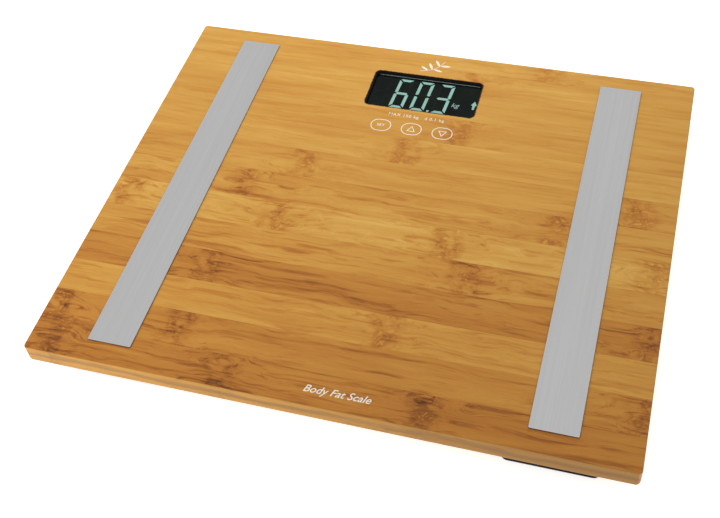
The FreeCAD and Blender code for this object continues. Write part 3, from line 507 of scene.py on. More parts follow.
class Bamboo:
    """The laminated, varnished board's material, worked out step by step."""

    EDGE_SKIN = 0.15
    SEAM_HEIGHT = 17.0
    PLANED = (0.60, 0.32, 0.018)
    # Colour of the painted shade that darkens the front and rear edges towards the right end.
    SHADE_TO_RIGHT = (0.20, 0.080, 0.002)
    SEAM = (0.17, 0.075, 0.014)
    CHAR = (0.16, 0.045, 0.014)
    WINDOW_WALL = (0.016, 0.010, 0.008)
    COLOURS = (
        (0.0, (0.12, 0.036, 0.007)),
        (0.30, (0.33, 0.108, 0.015)),
        (0.55, (0.50, 0.192, 0.028)),
        (0.75, (0.60, 0.275, 0.046)),
        (0.90, (0.68, 0.361, 0.070)),
        (1.0, (0.76, 0.446, 0.108)),
    )

    def __init__(self, look):
        self.look = look
        self.finish = Finish("bamboo_board", coat_weight=0.12, coat_roughness=0.3, specular_ior_level=0.3)
        self.x, self.y, self.z = self.finish.split(self.finish.place)

    def sum(self, *terms):
        """The sum of (output, weight) pairs, started by a plain output or number."""
        total = terms[0]
        for output, weight in terms[1:]:
            total = self.finish.calculate("MULTIPLY_ADD", output, weight, total)
        return total

    def lamellae(self):
        """Which lamella a point is in, counted from the rear, and its traits."""
        look, finish = self.look, self.finish
        rear = (look.first_joint + look.lamella) / MM
        count = finish.calculate("DIVIDE", finish.minus(rear, self.y), look.lamella / MM)
        self.number = finish.calculate("FLOOR", count)
        self.across = finish.minus(count, self.number)
        stops = [(index / len(LAMELLAE), traits) for index, traits in enumerate(LAMELLAE)]
        place = finish.calculate("DIVIDE", finish.calculate("ADD", self.number, 0.5), len(LAMELLAE))
        self.pale, self.streaky, self.wavy = finish.split(finish.ramp(place, stops, "CONSTANT"))
        self.phase = finish.times(self.number, 3.7)

    def knots(self):
        """How near a point is to a knot of its own lamella."""
        finish = self.finish
        apart = 200
        wander = finish.noise(finish.place, (0.09, 0.12, 0.12), detail=2.0)
        x = self.sum(self.x, (finish.minus(wander, 0.5), 16.0))
        here = finish.join(x, finish.times(self.number, apart), 0.0)
        nearest = apart
        for number, knots in KNOTS.items():
            for place, faint in knots:
                distance = finish.vector("DISTANCE", here, (place, number * apart, faint))
                nearest = finish.calculate("MINIMUM", nearest, distance)
        blotch = finish.noise(finish.place, (0.13, 0.15, 0.15), phase=3.0, detail=1.0)
        near = finish.remap(nearest, 11.5, 2.0)
        self.core = finish.times(near, finish.remap(blotch, 0.3, 0.55))
        self.halo = finish.remap(nearest, 36.0, 5.0)

    def grain(self):
        """The streaks and fibres along X, which bend round the knots."""
        finish = self.finish
        bend = finish.noise(finish.place, (0.035, 0.09, 0.09), phase=self.phase, detail=1.0)
        reach = self.sum(1.5, (self.halo, 16.0), (self.wavy, 9.0))
        shift = finish.times(finish.minus(bend, 0.5), reach)
        y, z = (finish.calculate("ADD", way, shift) for way in (self.y, self.z))
        along = finish.join(self.x, y, z)
        self.broad = finish.noise(along, (0.011, 0.14, 0.14), phase=self.phase, detail=2.0)
        streak = finish.noise(along, (0.019, 0.45, 0.45), phase=self.phase, detail=4.0, roughness=0.62)
        self.streak = finish.times(finish.remap(streak, 0.47, 0.72), self.streaky)
        self.light_streak = finish.remap(streak, 0.46, 0.25)
        self.fibre = finish.noise(along, (0.07, 3.2, 3.2), phase=self.phase, detail=3.0, roughness=0.65)

    def knot_marks(self):
        """Short wavy dark dashes with paler flecks between them."""
        finish = self.finish
        worms = finish.noise(finish.place, (0.2, 0.26, 0.26), phase=self.phase, detail=1.5, distortion=1.1)
        ridge = finish.calculate("ABSOLUTE", finish.minus(worms, 0.5))
        self.dashes = finish.remap(ridge, 0.10, 0.01)
        self.flecks = finish.remap(worms, 0.58, 0.7)

    def window_distance(self):
        """How far a point is outside the display window, in millimetres."""
        look, finish = self.look, self.finish
        corner = look.window_corner / MM
        reach = []
        sizes = ((self.x, look.window_width, 0), (self.y, look.window_depth, look.window_y))
        for way, size, middle in sizes:
            offset = finish.calculate("ABSOLUTE", finish.minus(way, middle / MM))
            past = finish.minus(offset, size / MM / 2 - corner)
            reach.append(finish.calculate("MAXIMUM", past, 0))
        distance = finish.vector("LENGTH", finish.join(reach[0], reach[1], 0.0))
        return finish.minus(distance, corner)

    def edge_mask(self, way, limit):
        """One on the two faces that lie across that way, at their limit in metres."""
        finish = self.finish
        start = limit / MM - self.EDGE_SKIN
        return finish.remap(finish.calculate("ABSOLUTE", way), start - 0.1, start + 0.1)

    def planed_edges(self):
        """The planed front and rear edges, with a dark wavy seam along them and painted shade that darkens
        them towards the right end.
        """
        finish = self.finish
        self.planed = self.edge_mask(self.y, BOARD_HIGH.y)
        wave = finish.noise(finish.place, (0.022, 0.0, 0.05), phase=7.0, detail=3.0)
        level = self.sum(self.z, (finish.minus(wave, 0.5), 11.0))
        apart = finish.calculate("ABSOLUTE", finish.minus(level, self.SEAM_HEIGHT))
        vein = finish.noise(finish.place, (0.015, 0.0, 0.9), phase=2.0, detail=3.0)
        seam = finish.times(finish.remap(apart, 2.8, 0.4), finish.remap(vein, 0.28, 0.5))
        self.seam = finish.times(self.planed, seam)
        # Painted shade: the front and rear edges darken towards the right end, standing in for the light
        # falling off there.
        self.shade_to_right = finish.times(self.planed, finish.remap(self.x, -60.0, 130.0))

    def sawn_ends(self):
        """The sawn left and right ends, with their open pores."""
        finish = self.finish
        self.end = self.edge_mask(self.x, BOARD_HIGH.x)
        pores = finish.noise(finish.place, (1.0, 1.6, 1.6), detail=2.0)
        self.pores = finish.times(self.end, finish.remap(pores, 0.5, 0.62))

    def tone(self):
        """How pale each point is, from 0 to 1."""
        look, finish = self.look, self.finish
        middle = finish.minus(self.broad, 0.5)
        fine = finish.minus(self.fibre, 0.5)
        tone = self.sum(self.pale, (middle, look.broad * 2), (fine, look.fibres * 2))
        tone = self.sum(tone, (self.streak, -look.streaks), (self.light_streak, 0.05))
        knot = self.sum(0.4, (self.dashes, 0.5), (self.flecks, -0.5))
        tone = self.sum(tone, (finish.times(self.core, knot), -look.knots))
        ring = finish.times(self.halo, self.streak)
        tone = self.sum(tone, (ring, -0.12), (self.halo, -0.03))
        from_joint = finish.calculate("PINGPONG", self.across, 0.5)
        self.joint = finish.remap(finish.times(from_joint, look.lamella / MM), 0.3, 0.05)
        tone = self.sum(tone, (self.joint, -0.07), (self.planed, look.edge_lift))
        return self.sum(tone, (self.pores, -0.3), (self.end, -0.06))

    def build(self):
        """Puts the board's material together."""
        look, finish = self.look, self.finish
        self.lamellae()
        self.knots()
        self.grain()
        self.knot_marks()
        self.planed_edges()
        self.sawn_ends()
        distance = self.window_distance()
        ragged = self.sum(distance, (finish.noise(finish.place, (0.9, 0.9, 0.9), detail=2.0), 1.1))
        char = finish.remap(ragged, look.char_width / MM + 0.55, 0.55)
        wall = finish.remap(distance, 0.06, 0.03)
        wood = finish.ramp(self.tone(), self.COLOURS)
        layers = (
            (self.planed, 0.5, self.PLANED),
            # Painted shade towards the right end of the front and rear edges.
            (self.shade_to_right, 0.55, self.SHADE_TO_RIGHT),
            (self.seam, 0.5, self.SEAM),
            (char, 1.0, self.CHAR),
            (wall, 1.0, self.WINDOW_WALL),
        )
        for mask, strength, tint in layers:
            wood = finish.mix(finish.times(mask, strength), wood, tint)
        finish.shade("Base Color", wood)
        rough = self.sum(look.roughness, (self.fibre, 0.08), (self.end, 0.15), (wall, 0.3))
        finish.shade("Roughness", rough)
        height = self.sum(self.fibre, (self.streak, -0.4), (self.joint, -1.0), (self.pores, -1.5))
        finish.bump(height, 0.00004)
        return finish.material


# How each of the record's material slots is finished: the function and what it is given after the name.
FINISHES = {
    "adhesive_tape": (moulded, (0.06, 0.045, 0.035), 0.6),
    "groove_tape": (moulded, (0.022, 0.022, 0.024), 0.55, 0.8, 0.00006),
    "plated_metal": (metal, (0.72, 0.70, 0.66), 0.25),
    "wire_jacket": (moulded, (0.02, 0.02, 0.021), 0.4, 4.0),
    "lead_jacket": (moulded, (0.5, 0.03, 0.025), 0.4, 4.0),
    "black_plastic": (moulded, (0.005, 0.0045, 0.005), 0.5, 2.2, 0.00006, 0.06),
    "button_plastic": (moulded, (0.22, 0.22, 0.23), 0.45),
    "bezel_plastic": (moulded, (0.012, 0.011, 0.010), 0.5),
    "foot_rubber": (moulded, (0.011, 0.011, 0.011), 0.75, 1.5, 0.00008, 0.12),
    "cell_steel": (metal, (0.56, 0.57, 0.58), 0.35, (0.2, 5.0, 1.0)),
    "gauge_film": (clear, (0.75, 0.40, 0.08), 0.2),
    # The glass glows faintly: partly the backlight leaking through its bare margin, and partly painted light
    # that brightens it in the window's shade.
    "lcd_glass": (glowing, (0.55, 0.62, 0.64), 0.1),
    "polarizer": (window_glass_film, (0.0046, 0.0080, 0.0060)),
    "light_guide": (glowing, (0.75, 0.85, 0.82), 0.3),
    "led": (glowing, (0.95, 0.90, 0.60), 0.8),
    "zebra_rubber": (striped_rubber, (0.35, 0.35, 0.4)),
    "holder_plastic": (moulded, (0.72, 0.72, 0.70), 0.4),
    "circuit_laminate": (laminate, (0.012, 0.13, 0.045)),
    "chip_resin": (moulded, (0.012, 0.012, 0.012), 0.22, 0.5),
    "chip_parts": (moulded, (0.38, 0.27, 0.15), 0.45, 5.0),
    "socket_nylon": (moulded, (0.80, 0.76, 0.66), 0.4),
    "sensor_foam": (moulded, (0.05, 0.05, 0.052), 0.85, 1.6, 0.0002),
    "switch_body": (moulded, (0.06, 0.06, 0.065), 0.4),
    "screw_steel": (metal, (0.66, 0.66, 0.66), 0.28, (4.0, 4.0, 4.0)),
    "coin_steel": (metal, (0.74, 0.74, 0.75), 0.22, (5.0, 0.15, 1.0)),
}


def finish_slot(slot, material):
    """Gives the material to every CAD node of a slot."""
    for subpart in frame["record"]["subparts"]:
        if subpart["material_slot"] == slot:
            for material_slot in frame["nodes"][subpart["node"]].material_slots:
                material_slot.material = material


def add(name, data):
    """Puts a new object of that name into the scene."""
    made = bpy.data.objects.new(name, data)
    bpy.context.scene.collection.objects.link(made)
    return made


def as_mesh(shape, name="part"):
    """A mesh of a bmesh, which is used up."""
    mesh = bpy.data.meshes.new(name)
    shape.to_mesh(mesh)
    shape.free()
    return mesh


def piece(name, shape, material, body="platform", replaces=(), smooth_below=None):
    """Makes the bmesh an object of that name that rides on a body."""
    bmesh.ops.recalc_face_normals(shape, faces=shape.faces)
    if any(len(edge.link_faces) != 2 for edge in shape.edges):
        raise RuntimeError(f"{name} has an open or doubled edge")
    mesh = as_mesh(shape, name)
    if smooth_below is not None:
        mesh.shade_smooth()
        mesh.set_sharp_from_angle(angle=math.radians(smooth_below))
    mesh.materials.append(material)
    made = add(name, mesh)
    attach(made, body)
    if replaces:
        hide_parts(*replaces)


def ease(shape, geom, offset, affect, segments):
    """Rounds the given vertices or edges of a bmesh."""
    bmesh.ops.bevel(
        shape, geom=geom, offset=offset, affect=affect, segments=segments, profile=0.5, material=-1
    )


def plate(width, depth, corner, segments=8):
    """A bmesh of one flat face about the origin, with round corners."""
    shape = bmesh.new()
    bmesh.ops.create_grid(shape, x_segments=1, y_segments=1, size=0.5)
    bmesh.ops.scale(shape, vec=(width, depth, 1), verts=shape.verts)
    ease(shape, shape.verts[:], corner, "VERTICES", segments)
    return shape


def outline(shape, stroke):
    """Leaves only a rim of the stroke's width of a flat face."""
    inner = shape.faces[:]
    bmesh.ops.inset_individual(shape, faces=inner, thickness=stroke, use_even_offset=True)
    bmesh.ops.delete(shape, geom=inner, context="FACES_ONLY")


def polygon(corners):
    """A bmesh of one flat face with the given corners."""
    shape = bmesh.new()
    shape.faces.new([shape.verts.new((x, y, 0)) for x, y in corners])
    shape.normal_update()
    return shape


def raise_flat(shape, height):
    """Thickens flat faces upwards into a closed solid."""
    made = bmesh.ops.extrude_face_region(shape, geom=shape.faces[:])
    moved = [item for item in made["geom"] if isinstance(item, bmesh.types.BMVert)]
    bmesh.ops.translate(shape, vec=(0, 0, height), verts=moved)


def put(shape, x=0.0, y=0.0, z=0.0):
    """Moves a bmesh."""
    bmesh.ops.translate(shape, vec=(x, y, z), verts=shape.verts)


def gather(shapes):
    """One bmesh of several."""
    whole = bmesh.new()
    for shape in shapes:
        mesh = as_mesh(shape)
        whole.from_mesh(mesh)
        bpy.data.meshes.remove(mesh)
    return whole


def finished_mesh(made):
    """A closed bmesh in metres of a passing object that is drawn in millimetres."""
    bpy.context.view_layer.update()
    mesh = bpy.data.meshes.new_from_object(made.evaluated_get(bpy.context.evaluated_depsgraph_get()))
    bpy.data.objects.remove(made)
    shape = bmesh.new()
    shape.from_mesh(mesh)
    bpy.data.meshes.remove(mesh)
    bmesh.ops.remove_doubles(shape, verts=shape.verts, dist=MM)
    bmesh.ops.scale(shape, vec=(MM, MM, MM), verts=shape.verts)
    return shape


def carve(shape, tool):
    """A bmesh with another cut out of it; both are drawn in millimetres and used up."""
    parts = []
    for part in (shape, tool):
        bmesh.ops.recalc_face_normals(part, faces=part.faces)
        parts.append(add("part", as_mesh(part)))
    cut = parts[0].modifiers.new("cut", "BOOLEAN")
    cut.operation = "DIFFERENCE"
    cut.solver = "EXACT"
    cut.object = parts[1]
    carved = finished_mesh(parts[0])
    bpy.data.objects.remove(parts[1])
    return carved


def turned(profile, segments):
    """A bmesh turned about Z from radii and heights, with both ends on the axis."""
    shape = bmesh.new()
    verts = [shape.verts.new((radius, 0, height)) for radius, height in profile]
    edges = [shape.edges.new(pair) for pair in zip(verts, verts[1:])]
    bmesh.ops.spin(
        shape,
        geom=verts + edges,
        cent=(0, 0, 0),
        axis=(0, 0, 1),
        angle=math.tau,
        steps=segments,
        use_merge=True,
    )
    bmesh.ops.remove_doubles(shape, verts=shape.verts, dist=MM)
    return shape


def step_in(shape, face, inset, height):
    """Carries a level face about the origin to the height, smaller by the inset all round."""
    carried = bmesh.ops.extrude_discrete_faces(shape, faces=[face])["faces"][0]
    factor = 1 - inset / max(vert.co.x for vert in carried.verts)
    bmesh.ops.scale(shape, vec=(factor, factor, 1), verts=carried.verts)
    bmesh.ops.translate(shape, vec=(0, 0, height - carried.verts[0].co.z), verts=carried.verts)
    return carried


def lettering(words, size, height, slant=0.0, weight=0.0, spacing=1.0):
    """A bmesh of words centred on the origin, standing from 0 to the height."""
    text = bpy.data.curves.new("words", "FONT")
    text.body = words
    text.size = size / MM
    text.shear = slant
    text.offset = weight / MM
    text.space_character = spacing
    text.extrude = height / MM / 2
    text.align_x = "CENTER"
    text.align_y = "CENTER"
    text.resolution_u = 4
    shape = finished_mesh(add("words", text))
    put(shape, z=height / 2)
    return shape


def leaf(start, end, fullness, height):
    """A bmesh of a pointed leaf from start to end, standing from 0 to the height."""
    curve = bpy.data.curves.new("leaf", "CURVE")
    curve.dimensions = "2D"
    curve.fill_mode = "BOTH"
    curve.extrude = height / MM / 2
    spline = curve.splines.new("BEZIER")
    spline.bezier_points.add(1)
    spline.use_cyclic_u = True
    way = Vector(end) - Vector(start)
    side = Vector((-way.y, way.x)) * fullness
    points = spline.bezier_points
    for point, place, sense in ((points[0], Vector(start), 1), (points[1], Vector(end), -1)):
        point.co = (*place, 0)
        point.handle_right = (*(place + sense * (way * 0.3 + side)), 0)
        point.handle_left = (*(place + sense * (way * 0.3 - side)), 0)
    shape = finished_mesh(add(curve.name, curve))
    put(shape, z=height / 2)
    return shape


def stroke(points, width, height):
    """A bmesh of a flat line of the given width through the points, standing from 0 to the height."""
    curve = bpy.data.curves.new("stroke", "CURVE")
    curve.dimensions = "3D"
    curve.bevel_depth = width / MM / 2
    curve.bevel_resolution = 2
    curve.use_fill_caps = True
    spline = curve.splines.new("NURBS")
    spline.points.add(len(points) - 1)
    for point, (x, y) in zip(spline.points, points):
        point.co = (x, y, 0, 1)
    spline.order_u = 3
    spline.use_endpoint_u = True
    shape = finished_mesh(add(curve.name, curve))
    bmesh.ops.scale(shape, vec=(1, 1, height / width), verts=shape.verts)
    put(shape, z=height / 2)
    return shape


class BuildStep(bpy.types.Operator):
    """A step of the build, started from the scale's panel."""

    bl_options = {"REGISTER", "UNDO"}


class SCALE_OT_board(BuildStep):
    """Give the board its laminated bamboo finish"""

    bl_idname = "scale.board"
    bl_label = "Bamboo Board"

    def execute(self, context):
        finish_slot("bamboo", Bamboo(context.scene.bamboo_look).build())
        return {"FINISHED"}


class SCALE_OT_finishes(BuildStep):
    """Give every other CAD part its finish"""

    bl_idname = "scale.finishes"
    bl_label = "Part Finishes"

    def execute(self, context):
        for slot, (make, *values) in FINISHES.items():
            finish_slot(slot, make(slot, *values))
        return {"FINISHED"}


class SCALE_OT_strips(BuildStep):
    """Build the brushed electrode strips with eased edges"""

    bl_idname = "scale.strips"
    bl_label = "Electrode Strips"

    def execute(self, context):
        look = context.scene.strip_look
        steel = brushed_steel(look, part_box("electrode_strip_left")[1].z)
        for side in SIDES:
            node = f"electrode_strip_{side}"
            low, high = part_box(node)
            size = high - low
            strip = plate(size.x, size.y, look.corner)
            raise_flat(strip, size.z)
            upper = [edge for edge in strip.edges if all(vert.co.z > size.z / 2 for vert in edge.verts)]
            ease(strip, upper, look.edge, "EDGES", 3)
            put(strip, *((low + high) / 2).xy, low.z)
            piece(f"brushed_strip_{side}", strip, steel, replaces=[node], smooth_below=40)
        return {"FINISHED"}


class SCALE_OT_display(BuildStep):
    """Build the lit and unlit shapes of the display"""

    bl_idname = "scale.display"
    bl_label = "Display"

    def bar_corners(self, bar, look):
        """The corners of one bar of an upright digit about its middle."""
        right = look.digit_width / 2
        top = look.digit_height / 2
        wide = look.bar
        gap = look.gap / 2
        if bar == "middle":
            tip = right - gap * 1.6
            shoulder = tip - wide / 2
            half = wide / 2
            upper = [(-tip, 0), (-shoulder, half), (shoulder, half)]
            return upper + [(-x, -y) for x, y in upper]
        if bar in ("top", "bottom"):
            sense = 1 if bar == "top" else -1
            outer = right - gap
            inner = right - wide - gap
            corners = [(-outer, top), (outer, top), (inner, top - wide), (-inner, top - wide)]
            return [(x, y * sense) for x, y in corners]
        level, side = bar.split("_")
        across = 1 if side == "right" else -1
        up = 1 if level == "upper" else -1
        corners = [
            (right, top - gap * 2),
            (right - wide, top - wide - gap * 2),
            (right - wide, wide / 2 + gap),
            (right - wide / 2, gap * 1.4),
            (right, wide / 4 + gap),
        ]
        return [(x * across, y * up) for x, y in corners]

    def execute(self, context):
        look = context.scene.display_look
        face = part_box("lcd_front_polarizer")[1].z
        lit, unlit = [], []
        for index, digit in enumerate(look.digits):
            x = look.last_digit_x - (len(look.digits) - 1 - index) * look.digit_pitch
            for bar in BARS:
                corners = self.bar_corners(bar, look)
                shape = polygon([(x + a + b * look.slant, look.digit_y + b) for a, b in corners])
                (lit if bar in LIT_BARS[digit.strip()] else unlit).append(shape)
        point = look.bar * 0.8
        base = look.digit_y - look.digit_height / 2
        point_x = look.last_digit_x - look.digit_pitch / 2 - look.point_shift
        corners = ((0, 0), (point, 0), (point * 1.08, point), (point * 0.08, point))
        lit.append(polygon([(point_x - point / 2 + a, base + b) for a, b in corners]))
        for shape in lit + unlit:
            raise_flat(shape, look.print_height)
            put(shape, z=face)
        glow = glowing("lit_crystal", tuple(look.lit), 0.35, 0.1)
        faint = window_glass_film("unlit_crystal", tuple(look.unlit))
        piece("lit_digits", gather(lit), glow)
        piece("unlit_digits", gather(unlit), faint)
        unit = lettering("kg", look.unit_size, look.print_height, slant=0.25, weight=LIGHT)
        put(unit, *look.unit_place, face)
        piece("unit_letters", unit, glowing("dim_crystal", tuple(look.dim), 0.3))
        right = [(1.7, 0.2), (0.75, -0.2), (0.6, -3.4)]
        left = [(-x, y) for x, y in reversed(right)]
        arrow = polygon([(x * MM, y * MM) for x, y in [(0, 3.6)] + right + left])
        raise_flat(arrow, look.print_height)
        put(arrow, *look.arrow_place, face)
        piece("mode_arrow", arrow, glow)
        return {"FINISHED"}


class SCALE_OT_prints(BuildStep):
    """Build the printed keys, words and leaf sprig"""

    bl_idname = "scale.prints"
    bl_label = "Prints"

    def triangle(self, sense, look):
        """An outlined triangle that points to the rear, or to the front for a sense of -1."""
        shape = polygon(
            [(x * MM * sense, y * MM * sense) for x, y in ((-2.5, -1.9), (2.5, -1.9), (0, 2.6))]
        )
        outline(shape, look.key_stroke * 0.9)
        raise_flat(shape, look.thickness)
        return shape

    def sprig(self, look):
        """A small bamboo sprig: a bent stem with leaves."""
        stem = [(-8, -5.5), (-4, -4.6), (0, -2.6), (3, 0.8), (5, 5.0)]
        leaves = [
            ((-3.4, -4.3), (-8.2, -1.2)),
            ((-1.0, -3.2), (-4.0, 2.4)),
            ((-0.4, -2.8), (5.2, -4.2)),
            ((2.6, 0.3), (-0.6, 5.4)),
            ((2.9, 0.7), (9.2, 1.2)),
        ]
        parts = [stroke(stem, 0.4 * MM, look.thickness)]
        for start, end in leaves:
            parts.append(leaf(start, end, 0.17, look.thickness))
        return gather(parts)

    def execute(self, context):
        look = context.scene.print_look
        finish = Finish("print_ink", roughness=0.5)
        speckled(finish, tuple(look.ink), 0.06, (1.5, 1.5, 1.5), 0.00001)
        ink = finish.material
        top = BOARD_HIGH.z
        outlines = []
        for index in (-1, 0, 1):
            key = plate(look.key_width, look.key_depth, look.key_corner, 10)
            outline(key, look.key_stroke)
            raise_flat(key, look.thickness)
            put(key, index * look.key_pitch, look.key_y, top)
            outlines.append(key)
        piece("key_outlines", gather(outlines), ink)
        up = self.triangle(1, look)
        put(up, 0, look.key_y, top)
        down = self.triangle(-1, look)
        put(down, look.key_pitch, look.key_y, top)
        word = lettering("SET", look.key_word, look.thickness, weight=MEDIUM, spacing=1.1)
        put(word, -look.key_pitch, look.key_y, top)
        piece("key_symbols", gather([up, down, word]), ink)
        rating = lettering(look.rating, look.rating_size, look.thickness, weight=LIGHT, spacing=1.15)
        put(rating, *look.rating_place, top)
        piece("rating_line", rating, ink)
        front = lettering(look.front, look.front_size, look.thickness, slant=0.35, weight=BOLD)
        put(front, *look.front_place, top)
        piece("front_words", front, ink)
        sprig = self.sprig(look)
        put(sprig, *look.sprig_place, top)
        piece("leaf_sprig", sprig, ink)
        return {"FINISHED"}


class SCALE_OT_pads(BuildStep):
    """Build the ribbed rubber pads under the feet"""

    bl_idname = "scale.pads"
    bl_label = "Foot Pads"

    def execute(self, context):
        look = context.scene.underside_look
        rubber = moulded("pad_rubber", (0.014, 0.014, 0.014), 0.75, grain=1.5, relief=0.00008)
        for foot in FEET:
            node = f"foot_pad_{foot}"
            low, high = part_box(node)
            pad = plate(high.x - low.x, high.y - low.y, look.pad_corner)
            put(pad, z=high.z)
            raise_flat(pad, low.z + look.pad_edge - high.z)
            face = min(pad.faces, key=lambda side: side.calc_center_median().z)
            face = step_in(pad, face, look.pad_edge * 0.3, low.z + look.pad_edge * 0.3)
            face = step_in(pad, face, look.pad_edge * 0.7, low.z)
            for _ in range(look.grooves):
                face = step_in(pad, face, look.rib, low.z)
                face = step_in(pad, face, look.groove_slope, low.z + look.groove_depth)
                face = step_in(pad, face, look.groove, low.z + look.groove_depth)
                face = step_in(pad, face, look.groove_slope, low.z)
            put(pad, *((low + high) / 2).xy)
            piece(f"ribbed_pad_{foot}", pad, rubber, f"foot_{foot}", [node], 25)
        return {"FINISHED"}


class SCALE_OT_screws(BuildStep):
    """Build the cover's pan-head screws with their cross recesses and threads"""

    bl_idname = "scale.screws"
    bl_label = "Cover Screws"

    def screw(self, look, height):
        """A screw that stands with the middle of its head's face on the origin."""
        head, rim, shank = (size / MM for size in (look.head / 2, look.head_height, look.shank / 2))
        core, pitch, end = shank * 0.74, look.pitch / MM, height / MM
        profile = [(0, 0), (head * 0.5, 0.03), (head * 0.78, 0.14), (head * 0.94, 0.36), (head, rim * 0.7)]
        profile += [(head, rim), (core, rim)]
        start = rim + pitch * 0.6
        turns = int((end - start) / pitch)
        for turn in range(turns):
            crest = shank if turn < turns - 1 else shank * 0.7
            profile.append((core, start + turn * pitch))
            profile.append((crest, start + (turn + 0.5) * pitch))
        profile += [(core * 0.5, start + turns * pitch), (0, end)]
        slot, arm = look.recess_slot / MM / 2, look.recess / MM / 2
        depth = look.recess_depth / MM
        quarter = [(arm, -slot), (arm, slot), (slot, slot)]
        corners = []
        for turn in range(4):
            c, s = round(math.cos(turn * math.pi / 2)), round(math.sin(turn * math.pi / 2))
            corners += [(x * c - y * s, x * s + y * c) for x, y in quarter]
        cross = polygon(corners)
        raise_flat(cross, depth * 2)
        deep = [vert for vert in cross.verts if vert.co.z > depth]
        bmesh.ops.scale(cross, vec=(0.6, 0.6, 1), verts=deep)
        put(cross, z=-depth)
        return carve(turned(profile, look.segments), cross)

    def execute(self, context):
        look = context.scene.underside_look
        low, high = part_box("back_cover_screws")
        inset = look.head / 2
        screws = []
        for x in (low.x + inset, high.x - inset):
            for y in (low.y + inset, (low.y + high.y) / 2, high.y - inset):
                screw = self.screw(look, high.z - low.z)
                turn = Matrix.Rotation(1.3 * len(screws), 3, "Z")
                bmesh.ops.rotate(screw, matrix=turn, verts=screw.verts)
                put(screw, x, y, low.z)
                screws.append(screw)
        steel = metal("cover_screw_steel", (0.50, 0.50, 0.50), 0.3, waves=(4.0, 4.0, 4.0))
        plain = ["back_cover_screws"]
        piece("cover_screws", gather(screws), steel, replaces=plain, smooth_below=35)
        return {"FINISHED"}


class SCALE_OT_marks(BuildStep):
    """Build the raised marks on the back cover and the battery door"""

    bl_idname = "scale.marks"
    bl_label = "Moulded Marks"

    def turn_down(self, shape, x, y, face):
        """Turns a mark to be read from below and sets it on a downward face."""
        bmesh.ops.rotate(shape, matrix=Matrix.Rotation(math.pi, 3, "Y"), verts=shape.verts)
        put(shape, x, y, face)
        return shape

    def frame(self, width, depth, corner, look):
        """A raised rectangular line."""
        shape = plate(width, depth, corner)
        outline(shape, look.mark_size * 0.12)
        raise_flat(shape, look.mark_height)
        return shape

    def execute(self, context):
        look = context.scene.underside_look
        plastic = moulded("marked_plastic", (0.012, 0.012, 0.013), 0.4, grain=2.2, relief=0.00002)
        low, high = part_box("unit_button")
        x, y = ((low + high) / 2).xy
        plate_x, plate_y = look.plate_place
        face = low.z - 0.05 * MM
        words = (
            ("UNIT", 1.0, x, y + look.button_words),
            ("kg   lb   st", 0.85, x, y - look.button_words),
            ("3 V", 1.0, plate_x, plate_y + 3 * MM),
            ("MAX 150 kg", 0.85, plate_x, plate_y - 3.5 * MM),
        )
        marks = []
        for text, size, across, behind in words:
            word = lettering(text, look.mark_size * size, look.mark_height, weight=BOLD)
            marks.append(self.turn_down(word, across, behind, face))
        plate_line = self.frame(look.plate_width, look.plate_depth, 2 * MM, look)
        marks.append(self.turn_down(plate_line, plate_x, plate_y, face))
        ring = self.frame(look.ring, look.ring, look.ring * 0.49, look)
        marks.append(self.turn_down(ring, x, y, face))
        piece("cover_marks", gather(marks), plastic)
        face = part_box("battery_door")[0].z
        word = lettering("OPEN", look.mark_size, look.mark_height, weight=BOLD)
        arrow = polygon([(x * MM, y * MM) for x, y in ((-2, 0), (2, 0), (0, 2.6))])
        raise_flat(arrow, look.mark_height)
        marks = [
            self.turn_down(word, 0, look.door_word_y, face),
            self.turn_down(arrow, 0, look.door_arrow_y, face),
        ]
        piece("door_marks", gather(marks), plastic, "door")
        return {"FINISHED"}


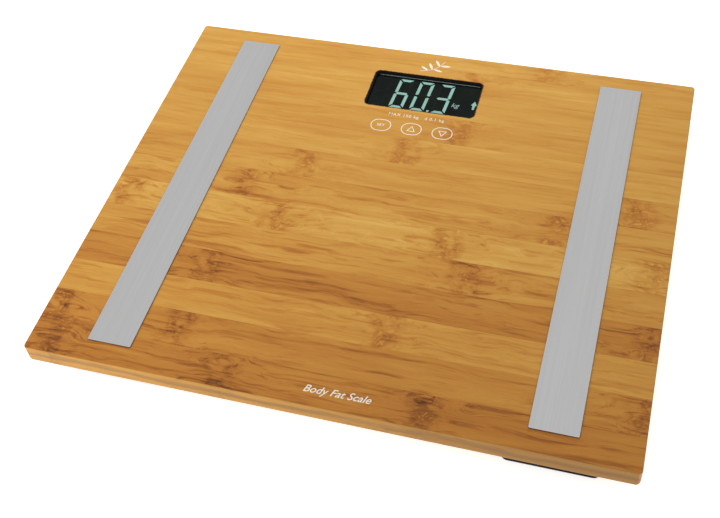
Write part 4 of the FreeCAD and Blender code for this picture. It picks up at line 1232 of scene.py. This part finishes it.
class SCALE_OT_stage(BuildStep):
    """Build the floor, lights and camera"""

    bl_idname = "scale.stage"
    bl_label = "Stage"

    def execute(self, context):
        look = context.scene.stage_look
        scene = context.scene
        floor_shape = bmesh.new()
        bmesh.ops.create_grid(floor_shape, x_segments=1, y_segments=1, size=look.floor_size)
        floor = add("floor", as_mesh(floor_shape, "floor"))
        finish = Finish("floor", roughness=0.9, emission_strength=look.floor_glow)
        finish.shade("Base Color", tuple(look.floor))
        finish.shade("Emission Color", (1.0, 1.0, 1.0))
        floor.data.materials.append(finish.material)

        world = bpy.data.worlds.new("studio")
        world.use_nodes = True
        background = world.node_tree.nodes["Background"]
        background.inputs["Color"].default_value = (1, 1, 1, 1)
        background.inputs["Strength"].default_value = look.sky
        scene.world = world

        for name, place, power in (
            ("key_light", look.key_place, look.key_power),
            ("fill_light", look.fill_place, look.fill_power),
        ):
            light = bpy.data.lights.new(name, "AREA")
            light.size = look.light_size
            light.energy = power
            lamp = add(name, light)
            lamp.location = place
            lamp.rotation_euler = (-Vector(place)).to_track_quat("-Z", "Y").to_euler()
            lamp.visible_glossy = False

        lens = bpy.data.cameras.new("camera")
        lens.lens = look.camera_lens
        lens.clip_start = 0.01
        camera = add("camera", lens)
        sight = Vector(look.camera_aim) - Vector(look.camera_place)
        level = sight.to_track_quat("-Z", "Y")
        turn = level @ Quaternion((0, 0, 1), look.camera_roll)
        camera.matrix_world = Matrix.Translation(look.camera_place) @ turn.to_matrix().to_4x4()
        scene.camera = camera
        scene.view_settings.view_transform = "Standard"
        return {"FINISHED"}


STEPS = (
    SCALE_OT_board,
    SCALE_OT_finishes,
    SCALE_OT_strips,
    SCALE_OT_display,
    SCALE_OT_prints,
    SCALE_OT_pads,
    SCALE_OT_screws,
    SCALE_OT_marks,
    SCALE_OT_stage,
)

LOOKS = {
    "bamboo_look": BambooLook,
    "strip_look": StripLook,
    "display_look": DisplayLook,
    "print_look": PrintLook,
    "underside_look": UndersideLook,
    "stage_look": StageLook,
}


class SCALE_PT_panel(bpy.types.Panel):
    """Lists the steps of the build with their sizes and colours."""

    bl_idname = "SCALE_PT_panel"
    bl_label = "Bathroom Scale"
    bl_space_type = "VIEW_3D"
    bl_region_type = "UI"
    bl_category = "Scale"

    def draw(self, context):
        for step in STEPS:
            self.layout.operator(step.bl_idname)
        for name, group in LOOKS.items():
            box = self.layout.box()
            box.label(text=group.__doc__)
            look = getattr(context.scene, name)
            for prop in group.__annotations__:
                box.prop(look, prop)


def register():
    """Registers the classes and puts the property groups on the scene."""
    for group in LOOKS.values():
        bpy.utils.register_class(group)
    for name, group in LOOKS.items():
        setattr(bpy.types.Scene, name, PointerProperty(type=group))
    for step in STEPS:
        bpy.utils.register_class(step)
    bpy.utils.register_class(SCALE_PT_panel)


def unregister():
    """Takes back what register did."""
    bpy.utils.unregister_class(SCALE_PT_panel)
    for step in reversed(STEPS):
        bpy.utils.unregister_class(step)
    for name in LOOKS:
        delattr(bpy.types.Scene, name)
    for group in reversed(LOOKS.values()):
        bpy.utils.unregister_class(group)


def main():
    """Registers the classes and runs every step."""
    register()
    for step in STEPS:
        getattr(bpy.ops.scale, step.bl_idname.split(".")[1])()


if __name__ == "__main__":
    main()
